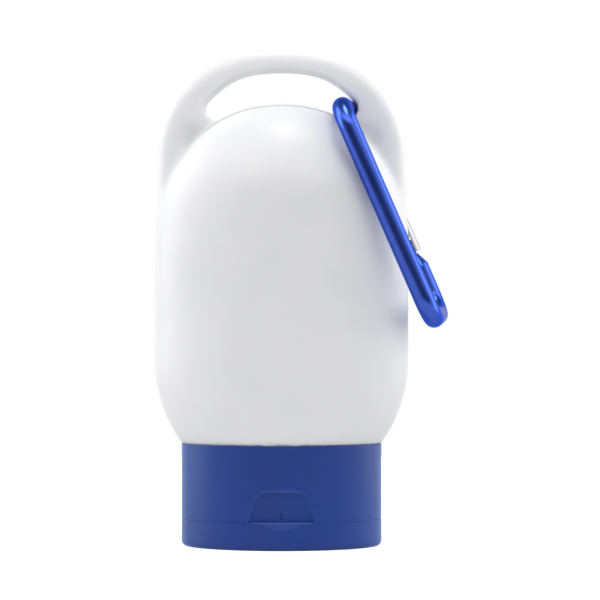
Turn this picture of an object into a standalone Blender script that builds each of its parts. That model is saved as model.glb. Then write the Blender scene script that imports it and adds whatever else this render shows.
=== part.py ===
"""Travel sunscreen bottle that stands on its flip-top closure and hangs from a wire snap hook.

The bottle is one blow moulding: a hollow belly, a domed crown, a flat carrying handle arched over
the crown, and a round neck that points down into the closure. The closure is an oval snap-on base
with a lid on a film hinge. The hook is a bent wire frame with a sprung gate, and hangs in the
handle's window. Metres, +Z up, the thumb recess faces -Y, and the lid's flat foot lies at Z = 0.
"""

import math

import bmesh
import bpy
from mathutils import Matrix, Vector

# Fits between pieces
SEAM_GAP = 0.0003
RUNNING_GAP = 0.00005
CUT_OVERRUN = 0.002
WELD_DISTANCE = 0.000005

# Closure: lid below, base above, one oval outline
CAP_HALF_WIDTH = 0.01995
CAP_HALF_DEPTH = 0.0126
LID_HEIGHT = 0.0055
BASE_HEIGHT = 0.0149
LID_SET_BACK = 0.0002
LID_FOOT_RADIUS = 0.0011
CAP_WALL = 0.0013
DECK_THICKNESS = 0.0012

# Nozzle in the base's deck and the plug in the lid that closes it
NOZZLE_BORE_RADIUS = 0.00295
NOZZLE_WALL = 0.0009
NOZZLE_REACH = 0.0008
PLUG_GAP = 0.0002
PLUG_TIP_SHARE = 0.85
PLUG_INSERTION = 0.0008

# Thumb recess in the base's front, with a catch notch, and the sloping pad on the lid below it
RECESS_FOOT_HALF = 0.0062
RECESS_TOP_HALF = 0.0046
RECESS_HEIGHT = 0.0056
RECESS_CORNER = 0.0016
RECESS_FOOT_DEPTH = 0.0013
RECESS_TOP_DEPTH = 0.0004
RECESS_BACKING = 0.0011
CATCH_HALF_WIDTH = 0.0003
CATCH_HEIGHT = 0.0016
CATCH_DEPTH = 0.0004
CATCH_GAP = 0.00015
PAD_HALF_WIDTH = 0.0047
PAD_HEIGHT = 0.0025
PAD_DEPTH = 0.0007

# Film hinge at the back
HINGE_HALF_WIDTH = 0.0040
HINGE_FILM = 0.0003
HINGE_BEND_RADIUS = 0.00035
HINGE_TAB = 0.0009
HINGE_LAND_DEPTH = 0.0005
HINGE_TAB_GAP = 0.0001

# Neck of the bottle and the inner skirt of the base that snaps over it
NECK_WALL = 0.0017
NECK_SEAL_GAP = 0.0004
BEAD_HEIGHT = 0.00045
BEAD_HALF_LENGTH = 0.0009
BEAD_FROM_END = 0.0045
SKIRT_WALL = 0.0012
SKIRT_TO_WALL_GAP = 0.00075
SKIRT_SHORTFALL = 0.0030
RIB_THICKNESS = 0.0010
RIB_SHORTFALL = 0.0050
RIB_PLACES_SHARES = (-0.34, 0.0, 0.34)

# Belly and crown
BELLY_HALF_WIDTH = 0.0253
FLARE_HEIGHT = 0.0166
FOOT_OVERHANG = 0.000135
BELLY_HEIGHT = 0.0197
DOME_HEIGHT = 0.03085
CROWN_HEIGHT = 0.0185
BOTTLE_WALL = 0.0010
SEAM_ROUND = 0.0003
SECTION_POWER = 2.0
DOME_POWER = 2.2
CROWN_POWER = 2.0
DOME_END_SHARE = 0.985

# Handle arched over the crown, and the window under it
HANDLE_INSET = 0.0004
HANDLE_RISE = 0.0237
HANDLE_ABOVE_CROWN = 0.01125
HANDLE_POWER = 2.33
HANDLE_HALF_THICKNESS = 0.0024
HANDLE_EDGE_RADIUS = 0.0014
HANDLE_LEG = 0.0164
HANDLE_BAND = 0.0042
HANDLE_PLATE = 0.0104
DIP_DEPTH = 0.0011
DIP_RAMP = 0.0024
DIP_TOP_DROP = 0.0022
DIP_FADE = 0.0050
WINDOW_BELOW_TOP = 0.0044
POCKET_CLEAR = 0.00045
POCKET_SPAN_SHARE = 0.52008
POCKET_ABOVE_CROWN = 0.00074
WINDOW_FLARE = 0.0005
WINDOW_RIDGE = 0.00015

# Snap hook: a D of round wire, one side before the bottle's flank and one behind it
WIRE_RADIUS = 0.0020
HOOK_LENGTH = 0.0491
HOOK_FRONT_SHARE = 0.68
HOOK_BACK_SHARE = 0.7476
HOOK_CLEAR = 0.00012
HOOK_LEAN_STAND_OFF = 0.00074
HOOK_END_STAND_OFF = 0.0045
HOOK_FRONT_CORNER = 0.0045
HOOK_BACK_CORNER = 0.0050
HOOK_YAW = math.radians(8.8)
HOOK_FORWARD = 0.0004

# Gate of the hook, its two rivets, spring and plunger
GATE_RADIUS = 0.0018
GATE_LENGTH_SHARE = 0.5051
GATE_CHAMFER = 0.0005
GATE_FROM_TOP = 0.0046
HINGE_PIN_DROP = 0.0012
GATE_END_GAP = 0.00045
PIN_RADIUS = 0.00045
TONGUE_HALF_THICKNESS = 0.00065
TONGUE_HALF_WIDTH = 0.0014
TONGUE_GAP = 0.00015
HEEL_DROP = 0.0017
HINGE_SLOT_LENGTH = 0.0050
CHAMBER_RADIUS = 0.00085
CHAMBER_LENGTH = 0.0106
PLUNGER_RADIUS = 0.0007
PLUNGER_LENGTH = 0.0033
PLUNGER_GAP = 0.00015
SPRING_WIRE_RADIUS = 0.00012
SPRING_MEAN_RADIUS = 0.0006
SPRING_TURNS = 9

# Nose of the hook, which the gate's latch rivet closes on
NOSE_CONE = 0.00245
NOSE_TIP_RADIUS = 0.00075
NOSE_TONGUE_RISE = 0.0028
LATCH_PIN_RISE = 0.0013
LATCH_GAP = 0.0002
LATCH_SLOT_CLEAR = 0.00045
LATCH_BACK_WALL = 0.00065

# Facet counts
OVAL_SIDES = 48
NECK_SIDES = 40
ARCH_STEPS = 44
WIRE_SIDES = 14
CORNER_STEPS = 8
PIN_SIDES = 16
GATE_SIDES = 24
SPRING_POINTS_PER_TURN = 10
SPRING_SIDES = 4

# Places that follow from the sizes above
PARTING_Z = LID_HEIGHT
LID_TOP_Z = PARTING_Z - SEAM_GAP / 2
BASE_BOTTOM_Z = PARTING_Z + SEAM_GAP / 2
BASE_TOP_Z = LID_HEIGHT + BASE_HEIGHT
DECK_TOP_Z = BASE_BOTTOM_Z + DECK_THICKNESS
SHOULDER_Z = BASE_TOP_Z + SEAM_GAP
BELLY_LOW_Z = SHOULDER_Z + FLARE_HEIGHT
BELLY_HIGH_Z = BELLY_LOW_Z + BELLY_HEIGHT
CROWN_TOP_Z = BELLY_HIGH_Z + DOME_HEIGHT
NECK_END_Z = DECK_TOP_Z + NECK_SEAL_GAP
SKIRT_OUTER_RADIUS = CAP_HALF_DEPTH - CAP_WALL - SKIRT_TO_WALL_GAP
SKIRT_INNER_RADIUS = SKIRT_OUTER_RADIUS - BEAD_HEIGHT - SKIRT_WALL / 2
NECK_RADIUS = SKIRT_INNER_RADIUS - SEAM_GAP
BELLY_HALF_DEPTH = CAP_HALF_DEPTH
FOOT_WIDTH_SHARE = (CAP_HALF_WIDTH + FOOT_OVERHANG) / BELLY_HALF_WIDTH
FLARE_RADIUS = FLARE_HEIGHT / math.sqrt(1 - FOOT_WIDTH_SHARE ** 2)
HANDLE_HALF_WIDTH = BELLY_HALF_WIDTH - HANDLE_INSET
POCKET_HALF_SPAN = HANDLE_HALF_WIDTH * POCKET_SPAN_SHARE
POCKET_RISE_SHARE = (1 - (POCKET_HALF_SPAN / BELLY_HALF_WIDTH) ** DOME_POWER) ** (1 / DOME_POWER)
POCKET_FLOOR_Z = BELLY_HIGH_Z + DOME_HEIGHT * POCKET_RISE_SHARE
POCKET_Z = POCKET_FLOOR_Z + WIRE_RADIUS + POCKET_ABOVE_CROWN
SKIRT_TOP_Z = BASE_TOP_Z - SKIRT_SHORTFALL
HANDLE_TOP_Z = CROWN_TOP_Z + HANDLE_ABOVE_CROWN
ARCH_START_Z = HANDLE_TOP_Z - HANDLE_RISE
WINDOW_TOP_Z = HANDLE_TOP_Z - WINDOW_BELOW_TOP
POCKET_RADIUS = WIRE_RADIUS + POCKET_CLEAR
HINGE_LAND_Y = CAP_HALF_DEPTH - HINGE_LAND_DEPTH
HINGE_AXIS_Y = HINGE_LAND_Y + HINGE_BEND_RADIUS
HOOK_FAR_Z = -(HOOK_LENGTH - 2 * WIRE_RADIUS)
HOOK_FRONT_REACH = BELLY_HALF_DEPTH * HOOK_FRONT_SHARE + WIRE_RADIUS + HOOK_CLEAR
HOOK_BACK_REACH = BELLY_HALF_DEPTH * HOOK_BACK_SHARE + WIRE_RADIUS + HOOK_CLEAR
HOOK_LEAN_OUT = BELLY_HALF_WIDTH + HOOK_LEAN_STAND_OFF - POCKET_HALF_SPAN
HOOK_END_OUT = BELLY_HALF_WIDTH + HOOK_END_STAND_OFF - POCKET_HALF_SPAN
DOME_LEAN = math.atan2(HOOK_LEAN_OUT, POCKET_Z - BELLY_HIGH_Z)
FLANK_LEAN = math.asin(HOOK_END_OUT / -HOOK_FAR_Z)
HOOK_TILT = max(DOME_LEAN, FLANK_LEAN)
GATE_LENGTH = HOOK_LENGTH * GATE_LENGTH_SHARE
GATE_PIN_Z = -(GATE_FROM_TOP + HINGE_PIN_DROP + WIRE_RADIUS)


def clear_scene():
    """Remove every object that the scene holds."""
    for obj in list(bpy.data.objects):
        bpy.data.objects.remove(obj, do_unlink=True)


def make_material(name, colour, roughness, metallic=0.0):
    """Return a Principled material of one colour."""
    material = bpy.data.materials.new(name)
    material.use_nodes = True
    shader = material.node_tree.nodes["Principled BSDF"]
    shader.inputs["Base Color"].default_value = (*colour, 1.0)
    shader.inputs["Roughness"].default_value = roughness
    shader.inputs["Metallic"].default_value = metallic
    return material


def add_object(name, bm, material=None, smooth_angle=30.0):
    """Turn a bmesh into a linked object with its faces pointing out."""
    bmesh.ops.recalc_face_normals(bm, faces=bm.faces)
    mesh = bpy.data.meshes.new(name)
    bm.to_mesh(mesh)
    bm.free()
    if material is not None:
        mesh.materials.append(material)
    mesh.shade_smooth()
    mesh.set_sharp_from_angle(angle=math.radians(smooth_angle))
    obj = bpy.data.objects.new(name, mesh)
    bpy.context.collection.objects.link(obj)
    return obj


def add_tool(name, bm):
    """Make a helper solid for a Boolean: seen as wires and left out of the model."""
    obj = add_object(name, bm)
    obj.hide_render = True
    obj.display_type = "WIRE"
    return obj


def combine(target, tool, operation):
    """Add an exact Boolean to an object; the tool moves with it."""
    modifier = target.modifiers.new(f"{operation.lower()}_{tool.name}", "BOOLEAN")
    modifier.operation = operation
    modifier.solver = "EXACT"
    modifier.object = tool
    tool.parent = target


def add_empty(name, location=(0, 0, 0)):
    """Make an empty that carries a joint's axis."""
    empty = bpy.data.objects.new(name, None)
    empty.location = location
    bpy.context.collection.objects.link(empty)
    return empty


def signed_power(value, power):
    """Raise a number's size to a power and keep its sign."""
    return math.copysign(abs(value) ** power, value)


def oval(half_width, half_depth, z, sides=OVAL_SIDES, power=SECTION_POWER):
    """Return the points of a level superellipse."""
    points = []
    for index in range(sides):
        angle = math.tau * index / sides
        x = half_width * signed_power(math.cos(angle), 2 / power)
        y = half_depth * signed_power(math.sin(angle), 2 / power)
        points.append(Vector((x, y, z)))
    return points


def loft(rings):
    """Skin closed rings of equal count, and close both ends."""
    bm = bmesh.new()
    loops = [[bm.verts.new(point) for point in ring] for ring in rings]
    for lower, upper in zip(loops, loops[1:]):
        for index, vert in enumerate(lower):
            after = (index + 1) % len(lower)
            bm.faces.new((vert, lower[after], upper[after], upper[index]))
    bm.faces.new(loops[0])
    bm.faces.new(loops[-1])
    return bm


def lathe(profile, sides):
    """Spin an outline of (radius, height) about Z; its ends may lie on the axis."""
    bm = bmesh.new()
    verts = [bm.verts.new((radius, 0, height)) for radius, height in profile]
    edges = [bm.edges.new(pair) for pair in zip(verts, verts[1:])]
    if profile[0][0] > 0:
        edges.append(bm.edges.new((verts[-1], verts[0])))
    bmesh.ops.spin(
        bm, geom=verts + edges, cent=(0, 0, 0), axis=(0, 0, 1), angle=math.tau, steps=sides,
    )
    bmesh.ops.remove_doubles(bm, verts=bm.verts, dist=WELD_DISTANCE)
    return bm


def prism(outline, start, end, place):
    """Extrude a flat outline from one height to another; place maps (a, b, height) to a point."""
    return loft([[place(a, b, height) for a, b in outline] for height in (start, end)])


def box(low, high):
    """Return a block between two corners."""
    bm = bmesh.new()
    bmesh.ops.create_cube(bm, size=1.0)
    size = Vector(high) - Vector(low)
    centre = (Vector(high) + Vector(low)) / 2
    bmesh.ops.scale(bm, vec=size, verts=bm.verts)
    bmesh.ops.translate(bm, vec=centre, verts=bm.verts)
    return bm


def across_hook(a, b, height):
    """Map an outline to the hook's own plane, with its height along X."""
    return Vector((height, a, b))


def arc_points(centre, radius, start, end, steps):
    """Return flat points of an arc, from one angle to another."""
    points = []
    for step in range(steps + 1):
        angle = start + (end - start) * step / steps
        points.append((centre[0] + radius * math.cos(angle), centre[1] + radius * math.sin(angle)))
    return points


def smooth_share(low, high, value):
    """Rise smoothly from 0 to 1 between two values."""
    share = min(1.0, max(0.0, (value - low) / (high - low)))
    return share * share * (3 - 2 * share)


# Bottle


def belly_half_width(z, inset=0.0):
    """Half-width of the belly at a height, drawn in by a wall."""
    full = BELLY_HALF_WIDTH - inset
    if z < BELLY_LOW_Z:
        drop = (BELLY_LOW_Z - z) / FLARE_RADIUS
        return full * math.sqrt(1 - drop * drop)
    if z < BELLY_HIGH_Z:
        return full
    rise = (z - BELLY_HIGH_Z) / (DOME_HEIGHT - inset)
    return full * max(0.0, 1 - rise ** DOME_POWER) ** (1 / DOME_POWER)


def belly_half_depth(z, inset=0.0):
    """Half-depth of the belly at a height, drawn in by a wall."""
    full = BELLY_HALF_DEPTH - inset
    crown_start = CROWN_TOP_Z - CROWN_HEIGHT
    if z < crown_start:
        return full
    rise = (z - crown_start) / (CROWN_HEIGHT - inset)
    return full * max(0.0, 1 - rise ** CROWN_POWER) ** (1 / CROWN_POWER)


def belly_heights(inset, flare_steps, belly_steps, dome_steps):
    """Heights of the belly's rings, closer together towards the crown."""
    start = SHOULDER_Z + inset
    heights = [start + (BELLY_LOW_Z - start) * step / flare_steps for step in range(flare_steps)]
    for step in range(belly_steps):
        heights.append(BELLY_LOW_Z + BELLY_HEIGHT * step / belly_steps)
    for step in range(dome_steps + 1):
        angle = math.pi / 2 * DOME_END_SHARE * step / dome_steps
        heights.append(BELLY_HIGH_Z + (DOME_HEIGHT - inset) * math.sin(angle))
    return heights


def belly_solid():
    """Outer form of the belly, with its foot edge eased at the seam."""
    heights = belly_heights(0.0, 5, 2, 16)
    rings = []
    for z in heights[1:]:
        rings.append(oval(belly_half_width(z), belly_half_depth(z), z))
    eased = SHOULDER_Z + SEAM_ROUND
    foot = oval(belly_half_width(eased), belly_half_depth(eased), eased)
    sole_half_width = belly_half_width(eased) - SEAM_ROUND
    sole = oval(sole_half_width, belly_half_depth(eased) - SEAM_ROUND, SHOULDER_Z)
    return loft([sole, foot] + rings)


def cavity_solid():
    """Space for the lotion, one wall inside the belly."""
    rings = []
    for z in belly_heights(BOTTLE_WALL, 4, 2, 12):
        half_width = belly_half_width(z, BOTTLE_WALL)
        half_depth = belly_half_depth(z, BOTTLE_WALL)
        rings.append(oval(half_width, half_depth, z, sides=OVAL_SIDES * 3 // 4))
    return loft(rings)


def arch_station(index):
    """Return a point on the handle's outline and the inward direction there."""
    legs = 4
    curve_steps = ARCH_STEPS - 2 * legs
    if index < legs or index > ARCH_STEPS - legs:
        side = 1 if index < legs else -1
        along = index if side > 0 else ARCH_STEPS - index
        z = ARCH_START_Z - HANDLE_LEG * (1 - along / legs)
        return Vector((side * HANDLE_HALF_WIDTH, 0, z)), Vector((-side, 0, 0))
    angle = math.pi * (index - legs) / curve_steps
    cosine = signed_power(math.cos(angle), 2 / HANDLE_POWER)
    sine = signed_power(math.sin(angle), 2 / HANDLE_POWER)
    point = Vector((HANDLE_HALF_WIDTH * cosine, 0, ARCH_START_Z + HANDLE_RISE * sine))
    slope = HANDLE_POWER - 1
    normal_x = signed_power(cosine, slope) / HANDLE_HALF_WIDTH
    normal_z = signed_power(max(sine, 0.0), slope) / HANDLE_RISE
    return point, -Vector((normal_x, 0, normal_z)).normalized()


def handle_half_thickness(inset, z):
    """Half-thickness of the handle plate, a distance in from its outline."""
    radius = HANDLE_EDGE_RADIUS
    if inset < radius:
        return HANDLE_HALF_THICKNESS - radius + math.sqrt(radius ** 2 - (radius - inset) ** 2)
    dip_top = POCKET_Z - DIP_TOP_DROP
    inward = smooth_share(HANDLE_BAND, HANDLE_BAND + DIP_RAMP, inset)
    below = 1 - smooth_share(dip_top - DIP_FADE, dip_top, z)
    return HANDLE_HALF_THICKNESS - DIP_DEPTH * inward * below


def handle_insets():
    """Distances from the outline at which the handle's section has a point."""
    edge_steps = 5
    insets = []
    for step in range(edge_steps):
        angle = math.pi / 2 * step / edge_steps
        insets.append(HANDLE_EDGE_RADIUS * (1 - math.cos(angle)))
    insets.append(HANDLE_EDGE_RADIUS)
    insets.append(HANDLE_BAND)
    ramp_steps = 4
    for step in range(1, ramp_steps + 1):
        insets.append(HANDLE_BAND + DIP_RAMP * step / ramp_steps)
    insets.append(HANDLE_PLATE)
    return insets


def handle_solid():
    """Handle and shoulder webs: one section carried round the arch."""
    insets = handle_insets()
    rings = []
    for index in range(ARCH_STEPS + 1):
        point, inward = arch_station(index)
        front = []
        for inset in insets:
            centre = point + inward * inset
            front.append(centre - Vector((0, handle_half_thickness(inset, centre.z), 0)))
        back = [Vector((p.x, -p.y, p.z)) for p in reversed(front)]
        rings.append(front + back)
    return loft(rings)


def crown_line(x):
    """Height of the crown's top edge at a distance from the middle."""
    share = min(1.0, abs(x) / BELLY_HALF_WIDTH)
    return BELLY_HIGH_Z + DOME_HEIGHT * (1 - share ** DOME_POWER) ** (1 / DOME_POWER)


def pocket_exit_angle(radius):
    """Angle at which a pocket's circle meets the crown's ridge, found by halving."""
    low = -math.pi / 2
    high = -math.pi
    for _ in range(40):
        middle = (low + high) / 2
        x = POCKET_HALF_SPAN + radius * math.cos(middle)
        z = POCKET_Z + radius * math.sin(middle)
        if z < crown_line(x) + WINDOW_RIDGE:
            low = middle
        else:
            high = middle
    return high


def window_outline(flare):
    """Outline of the window: an upper arc, two round pockets and the crown below."""
    pocket = POCKET_RADIUS + flare
    top = WINDOW_TOP_Z + flare
    drop = top - POCKET_Z
    arch = (POCKET_HALF_SPAN ** 2 + drop ** 2 - pocket ** 2) / (2 * (drop - pocket))
    arch_z = top - arch
    tangent = math.atan2(POCKET_Z - arch_z, POCKET_HALF_SPAN)
    exit_angle = pocket_exit_angle(pocket)
    arch_steps = 20
    pocket_steps = 14
    crown_steps = 16
    outline = []
    outline += arc_points((0, arch_z), arch, math.pi - tangent, tangent, arch_steps)[:-1]
    centre = (POCKET_HALF_SPAN, POCKET_Z)
    right = arc_points(centre, pocket, tangent, exit_angle, pocket_steps)
    outline += right
    reach = right[-1][0]
    for step in range(1, crown_steps):
        x = reach * (1 - 2 * step / crown_steps)
        outline.append((x, crown_line(x) + WINDOW_RIDGE))
    outline += [(-x, z) for x, z in reversed(right[1:])]
    return outline


def window_solid():
    """Cutter for the window, flared at both faces of the handle."""
    straight = HANDLE_HALF_THICKNESS - WINDOW_FLARE
    stages = (
        (-HANDLE_HALF_THICKNESS - CUT_OVERRUN, WINDOW_FLARE),
        (-HANDLE_HALF_THICKNESS, WINDOW_FLARE),
        (-straight - WINDOW_FLARE / 2, WINDOW_FLARE / 4),
        (-straight, 0.0),
        (straight, 0.0),
        (straight + WINDOW_FLARE / 2, WINDOW_FLARE / 4),
        (HANDLE_HALF_THICKNESS, WINDOW_FLARE),
        (HANDLE_HALF_THICKNESS + CUT_OVERRUN, WINDOW_FLARE),
    )
    return loft([[Vector((x, y, z)) for x, z in window_outline(flare)] for y, flare in stages])


def neck_solid():
    """Neck with its snap bead, run up into the belly's foot."""
    bead_z = NECK_END_Z + BEAD_FROM_END
    top = SHOULDER_Z + BOTTLE_WALL / 2
    profile = [
        (0, NECK_END_Z),
        (NECK_RADIUS, NECK_END_Z),
        (NECK_RADIUS, bead_z - BEAD_HALF_LENGTH),
        (NECK_RADIUS + BEAD_HEIGHT, bead_z - BEAD_HALF_LENGTH / 3),
        (NECK_RADIUS + BEAD_HEIGHT, bead_z + BEAD_HALF_LENGTH / 3),
        (NECK_RADIUS, bead_z + BEAD_HALF_LENGTH),
        (NECK_RADIUS, top),
        (0, top),
    ]
    return lathe(profile, NECK_SIDES)


def bore_solid():
    """Cutter for the neck's bore, from its mouth into the cavity."""
    radius = NECK_RADIUS - NECK_WALL
    profile = [
        (0, NECK_END_Z - CUT_OVERRUN),
        (radius, NECK_END_Z - CUT_OVERRUN),
        (radius, SHOULDER_Z + BOTTLE_WALL),
        (radius + BOTTLE_WALL, SHOULDER_Z + 2 * BOTTLE_WALL),
        (0, SHOULDER_Z + 2 * BOTTLE_WALL),
    ]
    return lathe(profile, NECK_SIDES)


def build_bottle():
    """Blow-moulded bottle with its handle, window and neck."""
    plastic = make_material("white_polyethylene", (0.80, 0.80, 0.82), 0.38)
    bottle = add_object("bottle", belly_solid(), plastic)
    combine(bottle, add_tool("tool_handle", handle_solid()), "UNION")
    combine(bottle, add_tool("tool_neck", neck_solid()), "UNION")
    combine(bottle, add_tool("tool_cavity", cavity_solid()), "DIFFERENCE")
    combine(bottle, add_tool("tool_bore", bore_solid()), "DIFFERENCE")
    combine(bottle, add_tool("tool_window", window_solid()), "DIFFERENCE")
    return bottle


# Closure


def cap_oval(inset, z):
    """Oval outline of the closure, drawn in by a distance."""
    return oval(CAP_HALF_WIDTH - inset, CAP_HALF_DEPTH - inset, z)


def base_skirt_solid():
    """Inner skirt that snaps over the neck's bead."""
    groove_z = NECK_END_Z + BEAD_FROM_END
    groove = SKIRT_INNER_RADIUS + BEAD_HEIGHT
    half = BEAD_HALF_LENGTH + SEAM_GAP
    foot = DECK_TOP_Z - DECK_THICKNESS / 2
    profile = [
        (SKIRT_OUTER_RADIUS, foot),
        (SKIRT_OUTER_RADIUS, SKIRT_TOP_Z),
        (SKIRT_INNER_RADIUS, SKIRT_TOP_Z),
        (SKIRT_INNER_RADIUS, groove_z + half),
        (groove, groove_z + half / 2),
        (groove, groove_z - half / 2),
        (SKIRT_INNER_RADIUS, groove_z - half),
        (SKIRT_INNER_RADIUS, foot),
    ]
    return lathe(profile, NECK_SIDES)


def nozzle_solid():
    """Raised collar round the orifice, on the deck's outer side."""
    radius = NOZZLE_BORE_RADIUS + NOZZLE_WALL
    eased = NOZZLE_WALL / 3
    profile = [
        (0, BASE_BOTTOM_Z - NOZZLE_REACH),
        (radius - eased, BASE_BOTTOM_Z - NOZZLE_REACH),
        (radius, BASE_BOTTOM_Z - NOZZLE_REACH + eased),
        (radius, DECK_TOP_Z - DECK_THICKNESS / 2),
        (0, DECK_TOP_Z - DECK_THICKNESS / 2),
    ]
    return lathe(profile, PIN_SIDES * 2)


def orifice_solid():
    """Cutter for the orifice, funnelled on the bottle's side."""
    funnel = DECK_THICKNESS / 2
    profile = [
        (0, BASE_BOTTOM_Z - NOZZLE_REACH - CUT_OVERRUN),
        (NOZZLE_BORE_RADIUS, BASE_BOTTOM_Z - NOZZLE_REACH - CUT_OVERRUN),
        (NOZZLE_BORE_RADIUS, DECK_TOP_Z - funnel),
        (NOZZLE_BORE_RADIUS + funnel + CUT_OVERRUN / 2, DECK_TOP_Z + CUT_OVERRUN / 2),
        (0, DECK_TOP_Z + CUT_OVERRUN / 2),
    ]
    return lathe(profile, PIN_SIDES * 2)


def recess_outline():
    """Thumb recess seen from the front: a trapezoid with rounded upper corners."""
    centre_x = RECESS_TOP_HALF - RECESS_CORNER
    centre_z = BASE_BOTTOM_Z + RECESS_HEIGHT - RECESS_CORNER
    half = [(RECESS_FOOT_HALF, BASE_BOTTOM_Z - CUT_OVERRUN), (RECESS_FOOT_HALF, BASE_BOTTOM_Z)]
    half += arc_points((centre_x, centre_z), RECESS_CORNER, 0, math.pi / 2, CORNER_STEPS)
    return half + [(-x, z) for x, z in reversed(half)]


def recess_solid():
    """Cutter for the thumb recess: shallow at its top and deepest at the parting line."""
    low = BASE_BOTTOM_Z
    high = BASE_BOTTOM_Z + RECESS_HEIGHT
    outside = []
    inside = []
    for x, z in recess_outline():
        share = max(0.0, min(1.0, (z - low) / (high - low)))
        depth = RECESS_FOOT_DEPTH + (RECESS_TOP_DEPTH - RECESS_FOOT_DEPTH) * share
        outside.append(Vector((x, -CAP_HALF_DEPTH - CUT_OVERRUN, z)))
        inside.append(Vector((x, -CAP_HALF_DEPTH + depth, z)))
    return loft([outside, inside])


def recess_backing_solid():
    """Block that keeps a wall behind the thumb recess."""
    half = RECESS_FOOT_HALF + RECESS_BACKING
    low_z = DECK_TOP_Z - DECK_THICKNESS / 2
    back = -CAP_HALF_DEPTH + RECESS_FOOT_DEPTH + RECESS_BACKING
    high_z = BASE_BOTTOM_Z + RECESS_HEIGHT + RECESS_BACKING
    return box((-half, -CAP_HALF_DEPTH + CAP_WALL / 2, low_z), (half, back, high_z))


def catch_notch_solid():
    """Cutter for the notch that the lid's catch snaps into."""
    half = CATCH_HALF_WIDTH + CATCH_GAP
    back = -CAP_HALF_DEPTH + RECESS_FOOT_DEPTH + CATCH_DEPTH + CATCH_GAP
    high_z = LID_TOP_Z + CATCH_HEIGHT + CATCH_GAP
    low = (-half, -CAP_HALF_DEPTH - CUT_OVERRUN, BASE_BOTTOM_Z - CUT_OVERRUN)
    return box(low, (half, back, high_z))


def rib_solids():
    """Ribs that tie the inner skirt to the outer one, at both ends of the oval."""
    solids = []
    inner = SKIRT_OUTER_RADIUS - SKIRT_WALL / 4
    outer = CAP_HALF_WIDTH - CAP_WALL / 2
    top = BASE_TOP_Z - RIB_SHORTFALL
    low = DECK_TOP_Z - DECK_THICKNESS / 2
    for side in (-1, 1):
        for share in RIB_PLACES_SHARES:
            y = share * CAP_HALF_DEPTH
            start = math.sqrt(inner ** 2 - y ** 2)
            end = outer * (1 - abs(share) ** SECTION_POWER) ** (1 / SECTION_POWER)
            near, far = sorted((side * start, side * end))
            corner = (near, y - RIB_THICKNESS / 2, low)
            solids.append(box(corner, (far, y + RIB_THICKNESS / 2, top)))
    return solids


def hinge_land_solid():
    """Cutter for the flat land at the back that the film hinge lies in."""
    half = HINGE_HALF_WIDTH + 2 * SEAM_GAP
    reach = HINGE_BEND_RADIUS + HINGE_TAB + 2 * SEAM_GAP
    low = (-half, HINGE_LAND_Y, PARTING_Z - reach)
    return box(low, (half, CAP_HALF_DEPTH + CUT_OVERRUN, PARTING_Z + reach))


def build_base(plastic):
    """Closure base: outer skirt, deck, nozzle, inner skirt, ribs and thumb recess."""
    shell = loft([cap_oval(0, BASE_BOTTOM_Z), cap_oval(0, BASE_TOP_Z - SEAM_ROUND),
                  cap_oval(SEAM_ROUND, BASE_TOP_Z)])
    base = add_object("closure_base", shell, plastic)
    room = loft([cap_oval(CAP_WALL, DECK_TOP_Z), cap_oval(CAP_WALL, BASE_TOP_Z + CUT_OVERRUN)])
    combine(base, add_tool("tool_base_room", room), "DIFFERENCE")
    combine(base, add_tool("tool_inner_skirt", base_skirt_solid()), "UNION")
    for index, rib in enumerate(rib_solids(), start=1):
        combine(base, add_tool(f"tool_rib_{index}", rib), "UNION")
    combine(base, add_tool("tool_recess_backing", recess_backing_solid()), "UNION")
    bore = lathe([(0, DECK_TOP_Z), (SKIRT_INNER_RADIUS, DECK_TOP_Z),
                  (SKIRT_INNER_RADIUS, BASE_TOP_Z), (0, BASE_TOP_Z)], NECK_SIDES)
    combine(base, add_tool("tool_neck_room", bore), "DIFFERENCE")
    combine(base, add_tool("tool_nozzle", nozzle_solid()), "UNION")
    combine(base, add_tool("tool_orifice", orifice_solid()), "DIFFERENCE")
    combine(base, add_tool("tool_recess", recess_solid()), "DIFFERENCE")
    combine(base, add_tool("tool_catch_notch", catch_notch_solid()), "DIFFERENCE")
    combine(base, add_tool("tool_base_land", hinge_land_solid()), "DIFFERENCE")
    return base


def lid_shell():
    """Outer form of the lid, rounded at its foot."""
    steps = 5
    rings = []
    for step in range(steps + 1):
        angle = math.pi / 2 * step / steps
        inset = LID_SET_BACK + LID_FOOT_RADIUS * (1 - math.sin(angle))
        rings.append(cap_oval(inset, LID_FOOT_RADIUS * (1 - math.cos(angle))))
    rings.append(cap_oval(LID_SET_BACK, LID_TOP_Z))
    return loft(rings)


def plug_solid():
    """Tapered plug that stands on the lid's floor and closes the orifice."""
    radius = NOZZLE_BORE_RADIUS - PLUG_GAP
    tip = radius * PLUG_TIP_SHARE
    tip_z = BASE_BOTTOM_Z + PLUG_INSERTION
    shoulder_z = BASE_BOTTOM_Z
    foot_z = CAP_WALL / 2
    profile = [(0, foot_z), (radius, foot_z), (radius, shoulder_z), (tip, tip_z), (0, tip_z)]
    return lathe(profile, PIN_SIDES * 2)


def thumb_pad_solid():
    """Wedge cut from the lid's front, deepest at the parting, where a thumb pushes it open."""
    front = -CAP_HALF_DEPTH + LID_SET_BACK
    clear_y = front - CUT_OVERRUN
    clear_z = LID_TOP_Z + CUT_OVERRUN
    deep = front + PAD_DEPTH
    foot_z = LID_TOP_Z - PAD_HEIGHT
    outline = [(clear_y, foot_z), (front, foot_z), (deep, LID_TOP_Z), (deep, clear_z),
               (clear_y, clear_z)]
    return prism(outline, -PAD_HALF_WIDTH, PAD_HALF_WIDTH, across_hook)


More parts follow.
